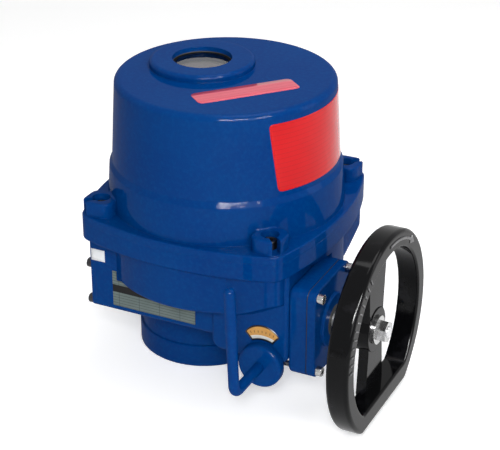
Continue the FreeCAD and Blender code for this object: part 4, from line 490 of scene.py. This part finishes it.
def top_strip():
    """The red strip on the dome's flat top."""
    first, second = Vector((0.0352, -0.0834)), Vector((0.1019, -0.0069))
    wide, corner, rule_step = 0.0262, 0.0052, 0.0065
    level = DOME_TOP_Z + STICKER_LIFT
    along = (second - first).normalized()
    side = Vector((-along.y, along.x))
    length = (second - first).length
    rows = []
    # closer rows at the ends, for the round corners
    for share in (0, 0.003, 0.009, 0.02, 0.035, 0.052, 0.25, 0.5, 0.75, 0.948, 0.965, 0.98, 0.991, 0.997, 1):
        place = first + along * length * share
        near = min(share, 1 - share) * length
        half = wide / 2 - round_corner_cut(near, corner)
        rows.append([Vector((*(place + side * half * s), level)) for s in (1, 0.5, 0, -0.5, -1)])
    across = (side.x, side.y, 0)
    red = red_label("red_label_top", across, first.dot(side) + rule_step / 2, rule_step, TOP_RED)
    return film("top_strip", rows, red, "housing")


def front_sticker():
    """The small white square on the front of the shaft box."""
    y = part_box("nameplate")[1].y - STICKER_LIFT
    left, right, low, high = -0.0725, -0.0572, 0.1190, 0.1315
    steps = 4
    rows = []
    for j in range(steps + 1):
        z = low + (high - low) * j / steps
        rows.append([Vector((left + (right - left) * i / steps, y, z)) for i in range(steps + 1)])
    return film("front_sticker", rows, white_label(), "housing")


def crescent_label():
    """The crescent over the lever's hub."""
    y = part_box("lever_hub")[1].y + CRESCENT_BACK - STICKER_LIFT
    steps = 40
    rows = []
    for k in range(steps + 1):
        turn = 1 - 2 * k / steps
        outer = SHIFT_OUT_R - SHIFT_DROP * turn * turn
        row = []
        for share in (0, 0.33, 0.67, 1):
            radius = SHIFT_IN_R + (outer - SHIFT_IN_R) * share
            reach = (radius - SHIFT_IN_R) / (SHIFT_OUT_R - SHIFT_IN_R)
            angle = SHIFT_MIDDLE + turn * (SHIFT_HALF_IN + (SHIFT_HALF_OUT - SHIFT_HALF_IN) * reach)
            row.append(Vector((lever_centre.x + radius * math.cos(angle), y,
                               lever_centre.z + radius * math.sin(angle))))
        rows.append(row)
    return film("crescent_label", rows, shift_label(), "housing")


def on_rim(radius, degrees, x):
    """A point by its distance from the handwheel's axis and its angle round it."""
    angle = math.radians(degrees)
    return Vector((x, WHEEL_Y + radius * math.cos(angle), WHEEL_Z + radius * math.sin(angle)))


def raised(name, outline, material):
    """A low raised mark on the rim's face, from (radius, degrees) round its outline."""
    count = len(outline)
    back, front = RIM_FACE_X - SUNK, RIM_FACE_X + RELIEF
    points = [on_rim(r, a, back) for r, a in outline] + [on_rim(r, a, front) for r, a in outline]
    faces = [tuple(range(count - 1, -1, -1)), tuple(range(count, 2 * count))]
    for i in range(count):
        j = (i + 1) % count
        faces.append((i, j, count + j, count + i))
    piece = new_piece(name, points, faces, material, "hand_drive")
    bevel = piece.modifiers.new("soft_edge", "BEVEL")
    bevel.width = 0.0003
    bevel.segments = 2
    bevel.limit_method = "ANGLE"
    return piece


def turn_arrow(material):
    """A plain arrow on the rim, which says which way to turn."""
    half, head = 0.0013, 0.0042
    tail, neck, tip = 92, 56, 49
    steps = 18
    shaft = [tail + (neck - tail) * k / steps for k in range(steps + 1)]
    outline = [(RIM_MIDDLE_R + half, a) for a in shaft]
    outline += [(RIM_MIDDLE_R + head, neck), (RIM_MIDDLE_R, tip), (RIM_MIDDLE_R - head, neck)]
    outline += [(RIM_MIDDLE_R - half, a) for a in reversed(shaft)]
    return raised("turn_arrow", outline, material)


def grip_ribs(material):
    """Short raised ribs on the side of the rim."""
    count, first, step = 12, 122, 5
    inner, outer = RIM_MIDDLE_R - 0.0036, RIM_MIDDLE_R + 0.0036
    half_turn = 0.5
    for k in range(count):
        low, high = first + step * k - half_turn, first + step * k + half_turn
        raised("grip_rib_%02d" % k, [(inner, high), (outer, high), (outer, low), (inner, low)], material)


# Stage, light and camera


def soft_box(name, place, width, height, power):
    """A rectangular lamp that points at the object."""
    data = bpy.data.lights.new(name, "AREA")
    data.shape = "RECTANGLE"
    data.size = width
    data.size_y = height
    data.energy = power
    lamp = bpy.data.objects.new(name, data)
    lamp.location = place
    lamp.rotation_mode = "QUATERNION"
    lamp.rotation_quaternion = (Vector(LAMP_AIM) - Vector(place)).to_track_quat("-Z", "Y")
    bpy.context.scene.collection.objects.link(lamp)
    return lamp


def seen_rays(tree):
    """1 for the rays that show a background: from the camera, off a glossy surface or through glass."""
    path = tree.nodes.new("ShaderNodeLightPath")
    seen = path.outputs["Is Camera Ray"]
    for kind in ("Is Glossy Ray", "Is Transmission Ray"):
        either = tree.nodes.new("ShaderNodeMath")
        either.operation = "MAXIMUM"
        tree.links.new(seen, either.inputs[0])
        tree.links.new(path.outputs[kind], either.inputs[1])
        seen = either.outputs["Value"]
    return seen


def floor_material():
    """White, and glowing a little for the rays that show the background, so that it keeps the shadow."""
    material = bpy.data.materials.new("pale_floor")
    material.use_nodes = True
    tree = material.node_tree
    surface = tree.nodes["Principled BSDF"]
    surface.inputs["Base Color"].default_value = (0.9, 0.9, 0.9, 1)
    surface.inputs["Roughness"].default_value = 0.9
    surface.inputs["Specular IOR Level"].default_value = 0.1
    surface.inputs["Emission Color"].default_value = (1, 1, 1, 1)
    glow = tree.nodes.new("ShaderNodeMath")
    glow.operation = "MULTIPLY"
    glow.inputs[1].default_value = FLOOR_GLOW
    tree.links.new(seen_rays(tree), glow.inputs[0])
    tree.links.new(glow.outputs["Value"], surface.inputs["Emission Strength"])
    return material


def pale_floor():
    size, gap = 6.0, 0.0002
    mesh = bpy.data.meshes.new("floor")
    corners = [(-size, -size, 0), (size, -size, 0), (size, size, 0), (-size, size, 0)]
    mesh.from_pydata(corners, [], [(0, 1, 2, 3)])
    floor = bpy.data.objects.new("floor", mesh)
    floor.location.z = -gap
    bpy.context.scene.collection.objects.link(floor)
    mesh.materials.append(floor_material())


def studio_world():
    """White behind the object, in gloss and through glass, and softer as a light on the object."""
    world = bpy.data.worlds.new("studio")
    bpy.context.scene.world = world
    world.use_nodes = True
    tree = world.node_tree
    back = tree.nodes["Background"]
    back.inputs["Color"].default_value = (1, 1, 1, 1)
    strength = tree.nodes.new("ShaderNodeMapRange")
    strength.inputs["To Min"].default_value = WORLD_LIGHT
    strength.inputs["To Max"].default_value = 1.0
    tree.links.new(seen_rays(tree), strength.inputs["Value"])
    tree.links.new(strength.outputs["Result"], back.inputs["Strength"])


def gleam(name, place, width):
    """A wide, low soft box that shows only as a highlight in gloss."""
    height, power = 0.22, 72
    lamp = soft_box(name, place, width, height, power * width)
    lamp.visible_diffuse = False


def lights():
    soft_box("front", (0.60, -1.30, 1.02), 0.3, 0.3, 11)
    gleam("gleam_left", (0.74, -1.08, 0.97), 0.62)
    gleam("gleam_right", (1.22, -0.60, 0.97), 0.45)
    soft_box("key", (1.05, -1.0, 0.78), 0.7, 0.7, 7)
    soft_box("left_fill", (-1.3, -0.5, 0.7), 0.5, 0.9, 0.4)
    soft_box("right_edge", (1.2, 0.55, 0.6), 0.4, 1.0, 3)
    soft_box("top", (0.2, 0.2, 1.4), 0.7, 0.7, 7.5)


def camera():
    data = bpy.data.cameras.new("camera")
    data.lens = CAMERA_LENS
    data.sensor_width = SENSOR_WIDTH
    data.clip_start, data.clip_end = 0.01, 50
    view = bpy.data.objects.new("camera", data)
    view.location = CAMERA_PLACE
    view.rotation_euler = (math.pi / 2 - CAMERA_ELEVATION, 0, CAMERA_AZIMUTH)
    bpy.context.scene.collection.objects.link(view)
    bpy.context.scene.camera = view


camera()
pale_floor()
studio_world()
lights()
dress_nodes()
dome_label()
top_strip()
front_sticker()
crescent_label()
relief_paint = worn_enamel()
turn_arrow(relief_paint)
grip_ribs(relief_paint)
bpy.context.scene.view_settings.view_transform = "Standard"
